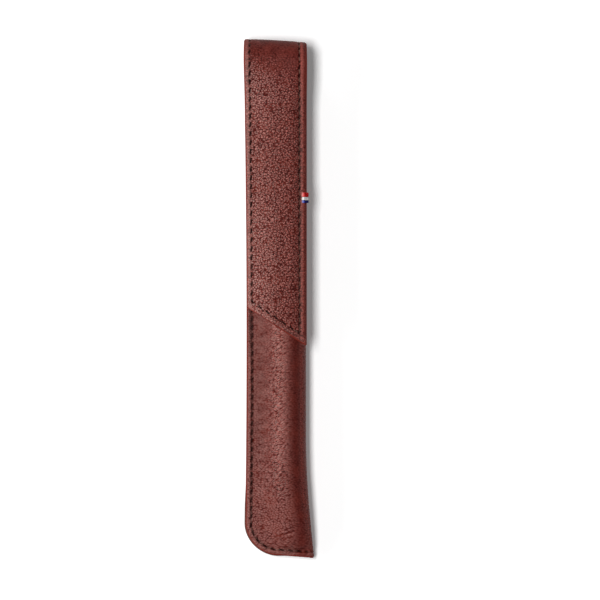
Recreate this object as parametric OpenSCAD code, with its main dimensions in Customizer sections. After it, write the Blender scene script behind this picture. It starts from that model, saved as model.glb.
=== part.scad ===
// Slim leather sleeve for a pen-sized stylus: a folded pocket, and a long slanted flap that closes over it.
// It lies on its back: +Y runs from the bottom edge to the top fold, +Z out of the front.

/* [Pocket] */
// Overall length, from the bottom edge to the outside of the top fold
length = 178.5; // [165:0.5:200]
// Width of the pocket, from the seamed edge to the right-hand fold
pocket_w = 21.3; // [20:0.1:25]
// Height of the pocket's crest above the back
pocket_h = 12.4; // [11.8:0.1:15]
// How much wider the flattened bottom is than the pocket
flare = 2.5; // [0:0.1:4]
// Length over which the bottom flares
flare_len = 42; // [30:1:55]
// Length over which the pocket closes down to its bottom seam
pinch_len = 27; // [20:1:40]
// Radius of the bottom left corner
corner_r = 11; // [6:0.5:14]
// Slope of the bottom edge, in degrees
bottom_slant = 4.2; // [0:0.1:6]
// How far the left edge is drawn in at the waist
waist_in = 0.95; // [0:0.05:1.5]
// Height of the waist above the bottom edge
waist_y = 76; // [60:1:90]
// Distance from the outside of the top fold down to the pocket's mouth
mouth_drop = 28.5; // [24:0.5:40]

/* [Leather] */
// Thickness of the outer leather
leather_t = 1.0; // [0.8:0.05:1.3]
// Thickness of the lining
lining_t = 0.4; // [0.3:0.05:0.5]
// Gap left for the glue between two layers
glue_gap = 0.05; // [0.03:0.01:0.08]
// Gap between the two linings inside the seam
lay_gap = 0.1; // [0.05:0.05:0.3]

/* [Seam] */
// Distance from an edge to its line of stitches
seam_margin = 2.3; // [1.8:0.1:3]
// Height of the middle of the side seam above the table
seam_z = 4.4; // [3:0.1:5.5]
// Height of the middle of the bottom seam above the table
bottom_z = 3.3; // [2.5:0.1:4.5]
// Distance from one stitch to the next
stitch_pitch = 3.0; // [2.5:0.1:4]
// Length of one stitch
stitch_l = 2.1; // [1.6:0.1:2.4]
// Diameter of the thread
thread_d = 0.55; // [0.4:0.05:0.7]

/* [Flap] */
// How much wider the flap, the fold and the back at the fold are than the pocket
strip_more = 0.4; // [0:0.1:1.5]
// Length of the flap, from the outside of the fold to its tip
flap_len = 105.8; // [90:0.2:125]
// Slope of the flap's end, in degrees
flap_slant = 32.5; // [20:0.5:40]
// Radius of the corners of the flap's end
tip_r = 0.8; // [0.4:0.1:1.5]
// Gap between the closed flap and the pocket's crest
flap_gap = 0.25; // [0.2:0.05:0.6]
// Thickness of the stiffener and of the magnet inside the flap
core_t = 0.6; // [0.5:0.05:1]
// How far the flap's left edge drops below its crown
crown_left = 4.3; // [2:0.1:5]
// How far the flap's right edge drops below its crown
crown_right = 2.5; // [1:0.1:3]
// Length over which the flat fold turns into the crowned flap
crown_len = 18; // [12:1:30]

/* [Closure] */
// Width of the magnet
magnet_w = 4; // [3:0.1:4.6]
// Length of the magnet and of its keeper plate
magnet_l = 14; // [8:0.5:18]
// Distance from the flap's tip up to the magnet
magnet_rise = 11.5; // [10:0.5:14]
// Thickness of the keeper plate
keeper_t = 0.4; // [0.3:0.05:0.6]

/* [Tab] */
// Length of the ribbon tab along the flap's edge
tab_l = 3.6; // [2.5:0.1:6]
// Thickness of the ribbon
tab_t = 0.3; // [0.2:0.05:0.4]
// Distance from the outside of the fold down to the tab
tab_drop = 53.2; // [40:0.2:70]

/* [Hidden] */

// Layers
layers_t = leather_t + glue_gap + lining_t;
stack_t = 2 * layers_t + lay_gap;
core_gap = core_t + glue_gap;
flap_t = layers_t + core_gap;
// Half a stitch's room is left flat beside each line of stitches
band_w = seam_margin + thread_d;

// Fold: four hinges on its outside, at equal steps round half a circle
fold_r = (pocket_h + flap_gap + flap_t) / 2;
fold_y = length - fold_r;
fold_parts = 4;
sector_a = 180 / fold_parts;
fold_cut = 0.1;
cut_a = fold_cut / 2 / fold_r * 180 / PI;

strip_w = pocket_w + strip_more;
mouth_y = length - mouth_drop;
tip_y = length - flap_len;
magnet_y = tip_y + magnet_rise;
pocket_end_w = pocket_w + flare;
centre_x = max(pocket_end_w, strip_w) / 2;

// Shares of the section: where the panel turns up to the tube, and where the back comes down to the table
foot_x_share = 0.405;
foot_z_share = 0.42;
foot_angle = 48;
toe_x_share = 0.36;
handle_share = 0.36;
quarter_share = 0.5523;
rise_share = 0.7;
// Number of steps in each stretch of the section
band_n = 2;
toe_n = 4;
flat_n = 2;
quarter_n = 6;
flank_n = 5;
panel_n = 4;
// Column where the back's own right edge leaves the pocket, and columns that the keeper plate covers
strip_cols = band_n + toe_n + flat_n + 4;
crest_col = band_n + toe_n + flat_n + 2 * quarter_n;
keeper_cols = [crest_col - 2, crest_col + 2];

// Stations, as shares of the lengths that they divide
corner_shares = [0, 0.03, 0.12, 0.26];
pinch_shares = [0, 0.03, 0.1, 0.2, 0.32, 0.46, 0.62, 0.8, 1];
strip_shares = [0.2, 0.4, 0.6, 0.8, 1];
arc_shares = [1 / 3, 2 / 3, 1];
keeper_ramp = 1.2;

// Flap: how much of each side's drop is left at each share of the width
left_drop_shares = [[0, 1], [0.055, 0.93], [0.125, 0.84], [0.175, 0.67], [0.23, 0.47], [0.3, 0.26], [0.37, 0.1],
    [0.44, 0.02], [0.52, 0]];
right_drop_shares = [[0.74, 0], [0.8, 0.2], [0.87, 0.5], [0.94, 0.78], [1, 1]];
core_width_shares = [[0.125, 0], [0.175, 1], [0.8, 1], [0.87, 0]];
core_length_shares = [[0.034, 0], [0.046, 1], [0.86, 1], [0.95, 0]];
flap_cols_shares = [0, 0.02, 0.055, 0.125, 0.175, 0.23, 0.3, 0.37, 0.44, 0.52, 0.63, 0.74, 0.8, 0.87, 0.94,
    0.98, 1];
flap_rows_shares = [0, 0.034, 0.046, 0.12, 0.25, 0.4, 0.55, 0.7, 0.8, 0.86, 0.9, 0.95, 1];
stiffener_cols_shares = [0.185, 0.23, 0.3, 0.37, 0.44, 0.52, 0.63, 0.74, 0.79];
stiffener_rows_shares = [0.34, 0.4, 0.55, 0.7, 0.8, 0.85];
magnet_x_share = 0.64;

// Stitches lie just clear of the leather and the lining; on the fold they lie in grooves
thread_clear = 0.12;
groove_clear = 0.05;
rod_lift = thread_d / 2 + thread_clear;
flap_lift = rod_lift + thread_clear;
tab_clear = 0.03;
rod_fn = 24;
arc_fn = 96;

leather_colour = [0.42, 0.2, 0.18];
lining_colour = [0.33, 0.2, 0.18];
thread_colour = [0.2, 0.12, 0.1];
steel_colour = [0.7, 0.7, 0.72];
board_colour = [0.55, 0.45, 0.35];
ribbon_colour = [0.85, 0.15, 0.15];

function ease(t) = let (u = min(max(t, 0), 1)) u * u * (3 - 2 * u);
function swell(t) = sin(90 * min(max(t, 0), 1));
function bezier(a, b, c, d, n) = [for (k = [1 : n]) let (t = k / n, s = 1 - t)
    s * s * s * a + 3 * s * s * t * b + 3 * s * t * t * c + t * t * t * d];
function line_to(a, b, n) = [for (k = [1 : n]) a + (b - a) * k / n];
function quarter(a, corner, b, n) =
    bezier(a, a + quarter_share * (corner - a), b + quarter_share * (corner - b), b, n);

// Outline of the pocket seen from the front
function waist(y) = let (u = (y - waist_y) / (fold_y - waist_y)) waist_in * max(0, 1 - u * u);
function arc_in(d, r) = d >= r ? 0 : r - sqrt(r * r - (r - d) * (r - d));
function corner_in(y) = arc_in(y, corner_r);
function left_x(y) = waist(y) + corner_in(y);
function right_x(y) = pocket_w + flare * (1 - swell(y / flare_len));
function slant_rise(x, y) = (right_x(y) - x) * tan(bottom_slant) * max(0, 1 - y / flare_len);

// Heights of the pocket
function seam_level(y) = bottom_z + (seam_z - bottom_z) * ease((y - band_w) / pinch_len);
function back_z(y) = (bottom_z - stack_t / 2) * (1 - ease((y - band_w) / pinch_len));
function crest_z(y) = let (low = bottom_z + stack_t / 2)
    low + (pocket_h - low) * sqrt(swell((y - band_w) / pinch_len));

// Outside of the pocket's section at y, as [x, z]: from the back's left edge, round the right side,
// to the front's left edge
function section(y) = let (xl = left_x(y), xr = right_x(y), w = xr - xl, zs = seam_level(y), zb = back_z(y),
        zt = crest_z(y), r = (zt - zb) / 2, low = zs - stack_t / 2, high = zs + stack_t / 2,
        e0 = [xl, low], g0 = [xl + band_w, low], t0 = [xl + toe_x_share * w, zb],
        t1 = [xr - r, zb], side = [xr, zb + r], crest = [xr - r, zt],
        foot = [xl + foot_x_share * w, high + foot_z_share * (zt - high)],
        lift = (zt - high) / (pocket_h - seam_z - stack_t / 2), a = foot_angle * lift,
        along = handle_share * (crest.x - foot.x) * [1, tan(a)],
        down = handle_share * (foot.x - xl - band_w) * [1, tan(a)],
        g1 = [xl + band_w, high], e1 = [xl, high], reach = [handle_share * w / 2, 0])
    concat([e0], line_to(e0, g0, band_n),
        bezier(g0, g0 + [(t0.x - g0.x) / 2, 0], t0 - [(t0.x - g0.x) / 2, 0], t0, toe_n),
        line_to(t0, t1, flat_n),
        quarter(t1, [xr, zb], side, quarter_n),
        quarter(side, [xr, zt], crest, quarter_n),
        bezier(crest, crest - reach, foot + along, foot, flank_n),
        bezier(foot, foot - down, g1 + down.x * [rise_share, rise_share * tan(a / 3)], g1, panel_n),
        line_to(g1, e1, band_n));

// Points moved inwards by the depth given for each column
function inset(pts, depths) = [for (i = [0 : len(pts) - 1])
    let (d = pts[min(i + 1, len(pts) - 1)] - pts[max(i - 1, 0)], u = d / norm(d))
        pts[i] + depths[i] * [-u.y, u.x]];
function even(n, depth) = [for (i = [0 : n - 1]) depth];
function in_frame(pts, y) = [for (p = pts) [p.x, y + slant_rise(p.x, y), p.y]];

// The back above the mouth opens out flat towards the fold
mouth_section = section(mouth_y);
function run(i) = i == 0 ? 0 : run(i - 1) + norm(mouth_section[i] - mouth_section[i - 1]);
strip_xs = [for (i = [0 : strip_cols]) strip_w * run(i) / run(strip_cols)];
function strip_section(y) = let (m = ease((y - mouth_y) / (fold_y - mouth_y)))
    [for (i = [0 : strip_cols]) mouth_section[i] + m * ([strip_xs[i], 0] - mouth_section[i])];
function arc_row(a, depth) = let (r = fold_r - depth)
    [for (x = strip_xs) [x, fold_y + r * sin(a), fold_r - r * cos(a)]];

// Depth of a layer's face below the outside; the lining also goes round the keeper plate
function over_keeper(y, i) = y >= magnet_y && y <= magnet_y + magnet_l
    && i >= keeper_cols[0] && i <= keeper_cols[1] ? keeper_t + glue_gap : 0;
function depths(y, n, depth, goes_round) =
    [for (i = [0 : n - 1]) depth + (goes_round ? over_keeper(y, i) : 0)];

corner_ys = [for (s = corner_shares) s * band_w];
pinch_ys = [for (s = pinch_shares) band_w + s * pinch_len];
keeper_ys = [magnet_y - keeper_ramp, magnet_y, magnet_y + magnet_l, magnet_y + magnet_l + keeper_ramp];
pocket_ys = concat(corner_ys, pinch_ys, [(waist_y + pinch_len) / 2], keeper_ys,
    [(keeper_ys[3] + mouth_y) / 2, mouth_y]);
strip_ys = [for (s = strip_shares) mouth_y + s * (fold_y - mouth_y)];
arc_as = [for (s = arc_shares) s * (sector_a / 2 - cut_a)];
all_cols = len(mouth_section);

function layer_rows(depth, goes_round) = concat(
    [for (y = pocket_ys)
        in_frame(inset(section(y), depths(y, all_cols, depth, goes_round)), y)],
    [for (y = strip_ys) in_frame(inset(strip_section(y), even(strip_cols + 1, depth)), y)],
    [for (a = arc_as) arc_row(a, depth)]);

// A closed sheet between two sets of rows. Rows after row short_from hold only their first short_cols columns
module sheet(outer, inner, short_from, short_cols) {
    rows = len(outer);
    full = len(outer[0]);
    function cols(r) = r <= short_from ? full : short_cols;
    function base(r) = 2 * full * min(r, short_from + 1) + 2 * short_cols * max(r - short_from - 1, 0);
    function out(r, c) = base(r) + c;
    function inn(r, c) = base(r) + cols(r) + c;
    function quad(a, b, c, d) = [[a, c, b], [a, d, c]];
    function end_quad(r, c) = quad(out(r, c), inn(r, c), inn(r, c + 1), out(r, c + 1));
    points = [for (r = [0 : rows - 1]) for (p = concat(outer[r], inner[r])) p];
    faces = [
        for (r = [0 : rows - 2]) for (c = [0 : cols(r + 1) - 2])
            for (f = concat(quad(out(r, c), out(r + 1, c), out(r + 1, c + 1), out(r, c + 1)),
                quad(inn(r, c), inn(r, c + 1), inn(r + 1, c + 1), inn(r + 1, c)))) f,
        for (r = [0 : rows - 2]) let (last = cols(r + 1) - 1)
            for (f = concat(quad(out(r, 0), inn(r, 0), inn(r + 1, 0), out(r + 1, 0)),
                quad(out(r, last), out(r + 1, last), inn(r + 1, last), inn(r, last)))) f,
        for (c = [0 : full - 2]) for (f = quad(out(0, c), out(0, c + 1), inn(0, c + 1), inn(0, c))) f,
        for (c = [0 : cols(rows - 1) - 2])
            for (f = end_quad(rows - 1, c)) f,
        if (short_from < rows - 1) for (c = [short_cols - 1 : full - 2])
            for (f = end_quad(short_from, c)) f
    ];
    polyhedron(points, faces);
}

// Puts the part's frame at the middle of its underside
module place() {
    translate([-centre_x, -length / 2, 0]) children();
}

module rod(p, q) {
    d = q - p;
    l = norm(d);
    translate(p) rotate([0, acos(d.z / l), atan2(d.y, d.x)]) cylinder(h = l, d = thread_d, $fn = rod_fn);
}

module body_layer(depth, thickness, goes_round) {
    outer = layer_rows(depth, goes_round);
    inner = layer_rows(depth + thickness, goes_round);
    sheet(outer, inner, len(pocket_ys) - 1, strip_cols + 1);
}

module body_leather() {
    color(leather_colour) place() body_layer(0, leather_t, false);
}

module body_lining() {
    color(lining_colour) place() body_layer(leather_t + glue_gap, lining_t, true);
}

// A thin steel plate, bent to the tube, between the front's leather and its lining
module keeper_plate() {
    cols = [for (i = [keeper_cols[0] : keeper_cols[1]]) i];
    function plate_row(y, depth) = let (row = in_frame(inset(section(y), even(all_cols, depth)), y))
        [for (i = cols) row[i]];
    ys = [magnet_y, magnet_y + magnet_l];
    color(steel_colour) place()
        sheet([for (y = ys) plate_row(y, leather_t + glue_gap / 2)],
            [for (y = ys) plate_row(y, leather_t + glue_gap / 2 + keeper_t)], 1, len(cols));
}

// Points along the seam's line of stitches: down the left side, round the corner and along the bottom
bend_r = corner_r - seam_margin;
side_run = mouth_y - seam_margin - corner_r;
bend_run = bend_r * PI / 2;
bottom_run = pocket_end_w - corner_r - seam_margin;
function bend_point(a) = [corner_r + bend_r * cos(a), corner_r + bend_r * sin(a)];
function seam_point(s) = s < side_run ? [seam_margin, corner_r + side_run - s]
    : s < side_run + bend_run ? bend_point(180 + (s - side_run) / bend_r * 180 / PI)
    : [corner_r + s - side_run - bend_run, seam_margin];
seam_count = floor((side_run + bend_run + bottom_run) / stitch_pitch);
// face is 1 on the front and -1 on the back
function on_seam(s, face) = let (p = seam_point(s), x = p.x + waist(p.y))
    [x, p.y + slant_rise(x, p.y), seam_level(p.y) + face * (stack_t / 2 + rod_lift)];

module seam_stitches(face) {
    for (k = [0 : seam_count - 1])
        rod(on_seam(k * stitch_pitch, face), on_seam(k * stitch_pitch + stitch_l, face));
}

module seam_front_thread() {
    color(thread_colour) place() seam_stitches(1);
}

module seam_back_thread() {
    color(thread_colour) place() seam_stitches(-1);
}

// Columns, whole or part, at a given distance along the mouth's outside
function col_at(s) = lookup(s, [for (i = [0 : all_cols - 1]) [run(i), i]]);
function at_col(pts, c) = let (i = min(floor(c), len(pts) - 2)) pts[i] + (c - i) * (pts[i + 1] - pts[i]);

// Stitches down both edges of the back above the mouth, on the lining
edge_cols = [col_at(seam_margin), col_at(run(strip_cols) - seam_margin)];
edge_count = floor((fold_y - mouth_y - stitch_l) / stitch_pitch);
function on_back(c, y) =
    let (p = at_col(inset(strip_section(y), even(strip_cols + 1, layers_t + rod_lift)), c)) [p.x, y, p.y];

module back_edge_thread() {
    color(thread_colour) place()
        for (c = edge_cols) for (k = [0 : edge_count - 1]) {
            y = mouth_y + stitch_pitch / 2 + k * stitch_pitch;
            rod(on_back(c, y), on_back(c, y + stitch_l));
        }
}

// Fold: each part is one sector of the half circle, numbered from the back
module fold_sector(part) {
    translate([0, fold_y, fold_r]) rotate([90, 0, 90])
        rotate([0, 0, sector_a * (part - 1 / 2) - 90 + cut_a])
            rotate_extrude(angle = sector_a - 2 * cut_a, $fn = arc_fn) children();
}

function on_fold(x, a, r) = [x, fold_y + r * sin(a), fold_r - r * cos(a)];
fold_xs = [seam_margin, strip_w - seam_margin];
fold_radii = [fold_r - thread_d / 2, fold_r - layers_t - rod_lift];

// Two stitches on each edge of a sector, on both of its faces
module fold_stitches(part) {
    turn = stitch_l / fold_r * 180 / PI;
    for (x = fold_xs) for (r = fold_radii) for (k = [-1, 1]) {
        a = sector_a * (part + k / 4);
        rod(on_fold(x, a - turn / 2, r), on_fold(x, a + turn / 2, r));
    }
}

module fold_leather(part) {
    inner = fold_r - leather_t;
    floor_r = fold_r - thread_d - 2 * groove_clear;
    near = seam_margin - thread_d / 2 - groove_clear;
    far = seam_margin + thread_d / 2 + groove_clear;
    color(leather_colour) place() fold_sector(part)
        polygon([[inner, 0], [fold_r, 0], [fold_r, near], [floor_r, near], [floor_r, far], [fold_r, far],
            [fold_r, strip_w - far], [floor_r, strip_w - far], [floor_r, strip_w - near],
            [fold_r, strip_w - near], [fold_r, strip_w], [inner, strip_w]]);
}

module fold_lining(part) {
    color(lining_colour) place() fold_sector(part)
        translate([fold_r - layers_t, 0]) square([lining_t, strip_w]);
}

module fold_thread(part) {
    color(thread_colour) place() fold_stitches(part);
}

// Flap: u is the share of its width and v the share of its length, from the slanted end to the fold
function end_y(x) = tip_y + (strip_w - x) * tan(flap_slant)
    + arc_in(strip_w - x, tip_r) + arc_in(x - waist(tip_y), tip_r) * tan(flap_slant);
function flap_x(u, y) = waist(y) + u * (strip_w - waist(y));
function flap_y(u, v) = let (y0 = end_y(flap_x(u, tip_y))) y0 + v * (fold_y - y0);
function drop(u) = crown_left * lookup(u, left_drop_shares) + crown_right * lookup(u, right_drop_shares);
function crowned(y) = ease((fold_y - y) / crown_len);
function flap_z(u, y) = 2 * fold_r - drop(u) * crowned(y);
function core_room(u, v) = core_gap * lookup(u, core_width_shares) * lookup(v, core_length_shares);
function flap_point(u, v, depth) = let (y = flap_y(u, v)) [flap_x(u, y), y, flap_z(u, y) - depth];
function flap_arc(a, depth) = [for (u = flap_cols_shares)
    [u * strip_w, fold_y + (fold_r - depth) * sin(a), fold_r + (fold_r - depth) * cos(a)]];

// A layer of the flap. Under the core its face drops by the core's room
module flap_layer(depth, thickness, under_core) {
    function row(v, d) = [for (u = flap_cols_shares)
        flap_point(u, v, d + (under_core ? core_room(u, v) : 0))];
    function rows(d) = concat([for (v = flap_rows_shares) row(v, d)], [for (a = arc_as) flap_arc(a, d)]);
    top = rows(depth);
    under = rows(depth + thickness);
    sheet(under, top, len(top) - 1, len(flap_cols_shares));
}

module flap_leather() {
    color(leather_colour) place() flap_layer(0, leather_t, false);
}

module flap_lining() {
    color(lining_colour) place() flap_layer(leather_t + glue_gap, lining_t, true);
}

module flap_stiffener() {
    function rows(d) = [for (v = stiffener_rows_shares)
        [for (u = stiffener_cols_shares) flap_point(u, v, d)]];
    depth = leather_t + glue_gap / 2;
    color(board_colour) place()
        sheet(rows(depth + core_t), rows(depth), len(stiffener_rows_shares) - 1, len(stiffener_cols_shares));
}

module flap_magnet() {
    color(steel_colour) place()
        translate([magnet_x_share * strip_w - magnet_w / 2, magnet_y,
                2 * fold_r - leather_t - glue_gap / 2 - core_t])
            cube([magnet_w, magnet_l, core_t]);
}

// Stitches down the flap's left edge, along its slanted end and up its right edge
flap_line = [[seam_margin, fold_y - stitch_pitch / 2],
    [seam_margin, tip_y + (strip_w - seam_margin) * tan(flap_slant) + seam_margin / cos(flap_slant)],
    [strip_w - seam_margin, tip_y + seam_margin * tan(flap_slant) + seam_margin / cos(flap_slant)],
    [strip_w - seam_margin, fold_y - stitch_pitch / 2]];
function on_flap(p, front) = let (y = p.y, x = p.x + waist(y) * (1 - p.x / strip_w),
        u = (x - waist(y)) / (strip_w - waist(y)))
    [x, y, flap_z(u, y) + (front ? flap_lift : -layers_t - flap_lift)];

module flap_stitches(front) {
    for (leg = [0 : 2]) {
        a = flap_line[leg];
        way = flap_line[leg + 1] - a;
        u = way / norm(way);
        n = floor(norm(way) / stitch_pitch);
        pitch = norm(way) / n;
        for (k = [0 : n - 1]) {
            from = a + u * (k * pitch + (pitch - stitch_l) / 2);
            rod(on_flap(from, front), on_flap(from + u * stitch_l, front));
        }
    }
}

module flap_front_thread() {
    color(thread_colour) place() flap_stitches(true);
}

module flap_back_thread() {
    color(thread_colour) place() flap_stitches(false);
}

// A ribbon folded round the flap's right edge, both ends at the line of stitches
module ribbon_tab() {
    y = length - tab_drop;
    x0 = strip_w - seam_margin + thread_d;
    x1 = strip_w + tab_clear;
    z0 = flap_z(x0 / strip_w, y);
    z1 = flap_z(1, y);
    t = layers_t + tab_clear;
    out = tab_clear + tab_t;
    color(ribbon_colour) place() translate([0, y, 0]) rotate([90, 0, 0]) linear_extrude(tab_l)
        polygon([[x0, z0 + tab_clear], [x1, z1 + tab_clear], [x1, z1 - t], [x0, z0 - t],
            [x0, z0 - t - tab_t], [x1, z1 - t - tab_t], [x1 + tab_t, z1 - t], [x1 + tab_t, z1 + tab_clear],
            [x1, z1 + out], [x0, z0 + out]]);
}

body_leather();
body_lining();
keeper_plate();
seam_front_thread();
seam_back_thread();
back_edge_thread();
fold_leather(1);  // fold_leather_lower
fold_lining(1);  // fold_lining_lower
fold_thread(1);  // fold_thread_lower
fold_leather(2);  // fold_leather_middle
fold_lining(2);  // fold_lining_middle
fold_thread(2);  // fold_thread_middle
fold_leather(3);  // fold_leather_upper
fold_lining(3);  // fold_lining_upper
fold_thread(3);  // fold_thread_upper
flap_leather();
flap_lining();
flap_stiffener();
flap_magnet();
flap_front_thread();
flap_back_thread();
ribbon_tab();
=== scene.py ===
"""Leather sleeve for a stylus: pebbled red-brown leather, sewn seams, a folded flap and a ribbon tab."""
import math

import bmesh
import bpy
import numpy as np
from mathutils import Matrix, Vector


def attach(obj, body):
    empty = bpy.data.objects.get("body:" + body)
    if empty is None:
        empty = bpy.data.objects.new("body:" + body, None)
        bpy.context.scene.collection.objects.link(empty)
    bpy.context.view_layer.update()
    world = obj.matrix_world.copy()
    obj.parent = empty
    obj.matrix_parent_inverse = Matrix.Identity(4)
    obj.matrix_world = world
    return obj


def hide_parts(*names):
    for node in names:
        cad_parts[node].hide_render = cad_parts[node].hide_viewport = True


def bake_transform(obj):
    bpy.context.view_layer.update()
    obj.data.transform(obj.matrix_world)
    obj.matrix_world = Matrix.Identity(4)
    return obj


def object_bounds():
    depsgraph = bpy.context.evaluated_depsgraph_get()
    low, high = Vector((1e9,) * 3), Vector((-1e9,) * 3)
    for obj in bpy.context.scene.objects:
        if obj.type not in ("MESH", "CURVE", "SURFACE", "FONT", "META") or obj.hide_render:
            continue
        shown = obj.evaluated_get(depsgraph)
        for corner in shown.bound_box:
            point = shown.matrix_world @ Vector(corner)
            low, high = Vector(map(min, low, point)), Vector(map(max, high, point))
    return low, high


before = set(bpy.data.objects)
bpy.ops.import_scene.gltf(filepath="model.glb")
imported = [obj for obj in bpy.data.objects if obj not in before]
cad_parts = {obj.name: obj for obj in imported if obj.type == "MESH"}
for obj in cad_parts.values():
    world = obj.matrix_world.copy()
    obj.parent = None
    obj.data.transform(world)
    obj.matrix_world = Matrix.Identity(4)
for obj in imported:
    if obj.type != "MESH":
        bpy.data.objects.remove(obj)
cad_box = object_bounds()

# Sizes in millimetres, as in the part's source
# x from the left edge, y from the bottom edge, z from the table
MM = 0.001
LENGTH = (cad_box[1].y - cad_box[0].y) / MM
CENTRE_X = -cad_box[0].x / MM
POCKET_W = 21.3
POCKET_H = 12.4
FLARE = 2.5
FLARE_LEN = 42
PINCH_LEN = 27
CORNER_R = 11
BOTTOM_SLANT = math.radians(4.2)
WAIST_IN = 0.95
WAIST_Y = 76
MOUTH_Y = LENGTH - 28.5
LEATHER_T = 1.0
LINING_T = 0.4
GLUE_GAP = 0.05
LAY_GAP = 0.1
SEAM_MARGIN = 2.3
SEAM_Z = 4.4
BOTTOM_Z = 3.3
STITCH_PITCH = 3.0
STITCH_L = 2.1
THREAD_D = 0.55
STRIP_W = POCKET_W + 0.4
TIP_Y = LENGTH - 105.8
FLAP_SLANT = math.radians(32.5)
TIP_R = 0.8
FLAP_GAP = 0.25
CORE_T = 0.6
CROWN_LEFT = 4.3
CROWN_RIGHT = 2.5
CROWN_LEN = 18
MAGNET_L = 14
MAGNET_Y = TIP_Y + 11.5
KEEPER_T = 0.4
TAB_L = 3.6
TAB_T = 0.3
TAB_Y = LENGTH - 53.2

# Sizes that follow from them
LAYERS_T = LEATHER_T + GLUE_GAP + LINING_T
STACK_T = 2 * LAYERS_T + LAY_GAP
CORE_GAP = CORE_T + GLUE_GAP
BAND_W = SEAM_MARGIN + THREAD_D
# Both lines of stitches lie a little to the left of where their margins would be equal
STITCH_SHIFT = 0.3
STITCH_LEFT = SEAM_MARGIN - STITCH_SHIFT
STITCH_RIGHT = SEAM_MARGIN + STITCH_SHIFT
FOLD_R = (POCKET_H + FLAP_GAP + LAYERS_T + CORE_GAP) / 2
FOLD_Y = LENGTH - FOLD_R
SECTOR = math.radians(45)
FOLD_RUN = math.pi * FOLD_R
# The pocket's line of stitches: down the side, round the corner, along the bottom
BEND_R = CORNER_R - STITCH_LEFT
SIDE_RUN = MOUTH_Y - SEAM_MARGIN - CORNER_R
BEND_RUN = BEND_R * math.pi / 2
SEAM_RUN = SIDE_RUN + BEND_RUN + POCKET_W + FLARE - CORNER_R - SEAM_MARGIN

# Shares of the pocket's section, as in the part's source
FOOT_X, FOOT_Z, FOOT_ANGLE, TOE_X = 0.405, 0.42, math.radians(48), 0.36
HANDLE, QUARTER, RISE = 0.36, 0.5523, 0.7
# Column of the section at which the back strip above the mouth ends
STRIP_COLUMN = 3 + 4 / 6
# Drop of the flap's crown, and width and length of what lies inside it, as shares of the flap
LEFT_DROP = [(0, 1), (0.055, 0.93), (0.125, 0.84), (0.175, 0.67), (0.23, 0.47), (0.3, 0.26), (0.37, 0.1),
             (0.44, 0.02), (0.52, 0)]
RIGHT_DROP = [(0.74, 0), (0.8, 0.2), (0.87, 0.5), (0.94, 0.78), (1, 1)]
CORE_WIDTH = [(0.125, 0), (0.175, 1), (0.8, 1), (0.87, 0)]
CORE_LENGTH = [(0.034, 0), (0.046, 1), (0.86, 1), (0.95, 0)]

# The fold isn't square to the sleeve: its right end lies lower
FOLD_SKEW = 0.056
FOLD_DROP = 0.5

# What the leather has beyond the part's source
# The back shows a little beyond the front round the corner, and the front's bottom flares a little more
BACK_MORE = 0.28
FLARE_MORE = 0.3
EDGE_ROUND = 0.55
PAINT_W = 0.5
PAINT_FADE = 0.12
LINING_SHORT = 0.55
FAR = 1e3
SLIGHTLY = 1e-9
TINY = 1e-12


# Small functions
def ease(t):
    u = np.clip(t, 0, 1)
    return u * u * (3 - 2 * u)


def swell(t):
    return np.sin(math.pi / 2 * np.clip(t, 0, 1))


def bump(d, width):
    """1 at d = 0, falling off over about width."""
    return np.exp(-(d / width) ** 2)


def table_at(u, table):
    """A table of shares, smoothed a little so that it has no corners."""
    xs, ys = zip(*table)
    taps = np.linspace(-0.03, 0.03, 7)
    return sum(np.interp(np.asarray(u) + t, xs, ys) for t in taps) / len(taps)


def spaced(stops, steps):
    """Values from stop to stop, each stretch divided into steps of about the size given for it."""
    out = [stops[0]]
    for a, b, step in zip(stops, stops[1:], steps):
        n = max(1, round(abs(b - a) / step))
        out += [a + (b - a) * k / n for k in range(1, n + 1)]
    return np.array(out)


# Noise on the skin, in millimetres
def lattice(seed):
    return np.random.default_rng(seed).random((256, 256, 2))


def noise(u, v, size, seed):
    """Smooth noise from -1 to 1 with features about size across."""
    table = lattice(seed)[..., 0]
    gu, gv = u / size, v / size
    iu, iv = np.floor(gu).astype(int), np.floor(gv).astype(int)
    fu, fv = ease(gu - iu), ease(gv - iv)

    def corner(du, dv):
        return table[(iu + du) % 256, (iv + dv) % 256]

    low = corner(0, 0) * (1 - fu) + corner(1, 0) * fu
    high = corner(0, 1) * (1 - fu) + corner(1, 1) * fu
    return 2 * (low * (1 - fv) + high * fv) - 1


def cells(u, v, size, seed):
    """Distances to the nearest and to the second nearest of points scattered one to a cell, in cell sizes."""
    table = lattice(seed)
    gu, gv = u / size, v / size
    iu, iv = np.floor(gu).astype(int), np.floor(gv).astype(int)
    first = np.full(np.shape(u), FAR)
    second = first.copy()
    for du in (-1, 0, 1):
        for dv in (-1, 0, 1):
            spot = table[(iu + du) % 256, (iv + dv) % 256]
            d = np.hypot(iu + du + spot[..., 0] - gu, iv + dv + spot[..., 1] - gv)
            second = np.minimum(second, np.maximum(first, d))
            first = np.minimum(first, d)
    return first, second


def hills(u, v, size, seed, flat):
    """Cells as hills, 0 in the gaps between them; flat is the share of flat tops, the rest is domes."""
    f1, f2 = cells(u, v, size, seed)
    return flat * ease((f2 - f1) / 0.5) + (1 - flat) * (1 - np.clip(f1 / 0.85, 0, 1) ** 2)


def pebbles(u, v):
    """Pebbled grain, 0 in the valleys and 1 on the hills."""
    wu = (u + 0.35 * noise(u, v, 1.1, 11)) * 0.9
    wv = (v + 0.35 * noise(u, v, 1.1, 12)) * 1.1
    return 0.66 * hills(wu, wv, 0.8, 13, 0.45) + 0.34 * hills(wu, wv, 0.5, 14, 1.0)


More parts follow.
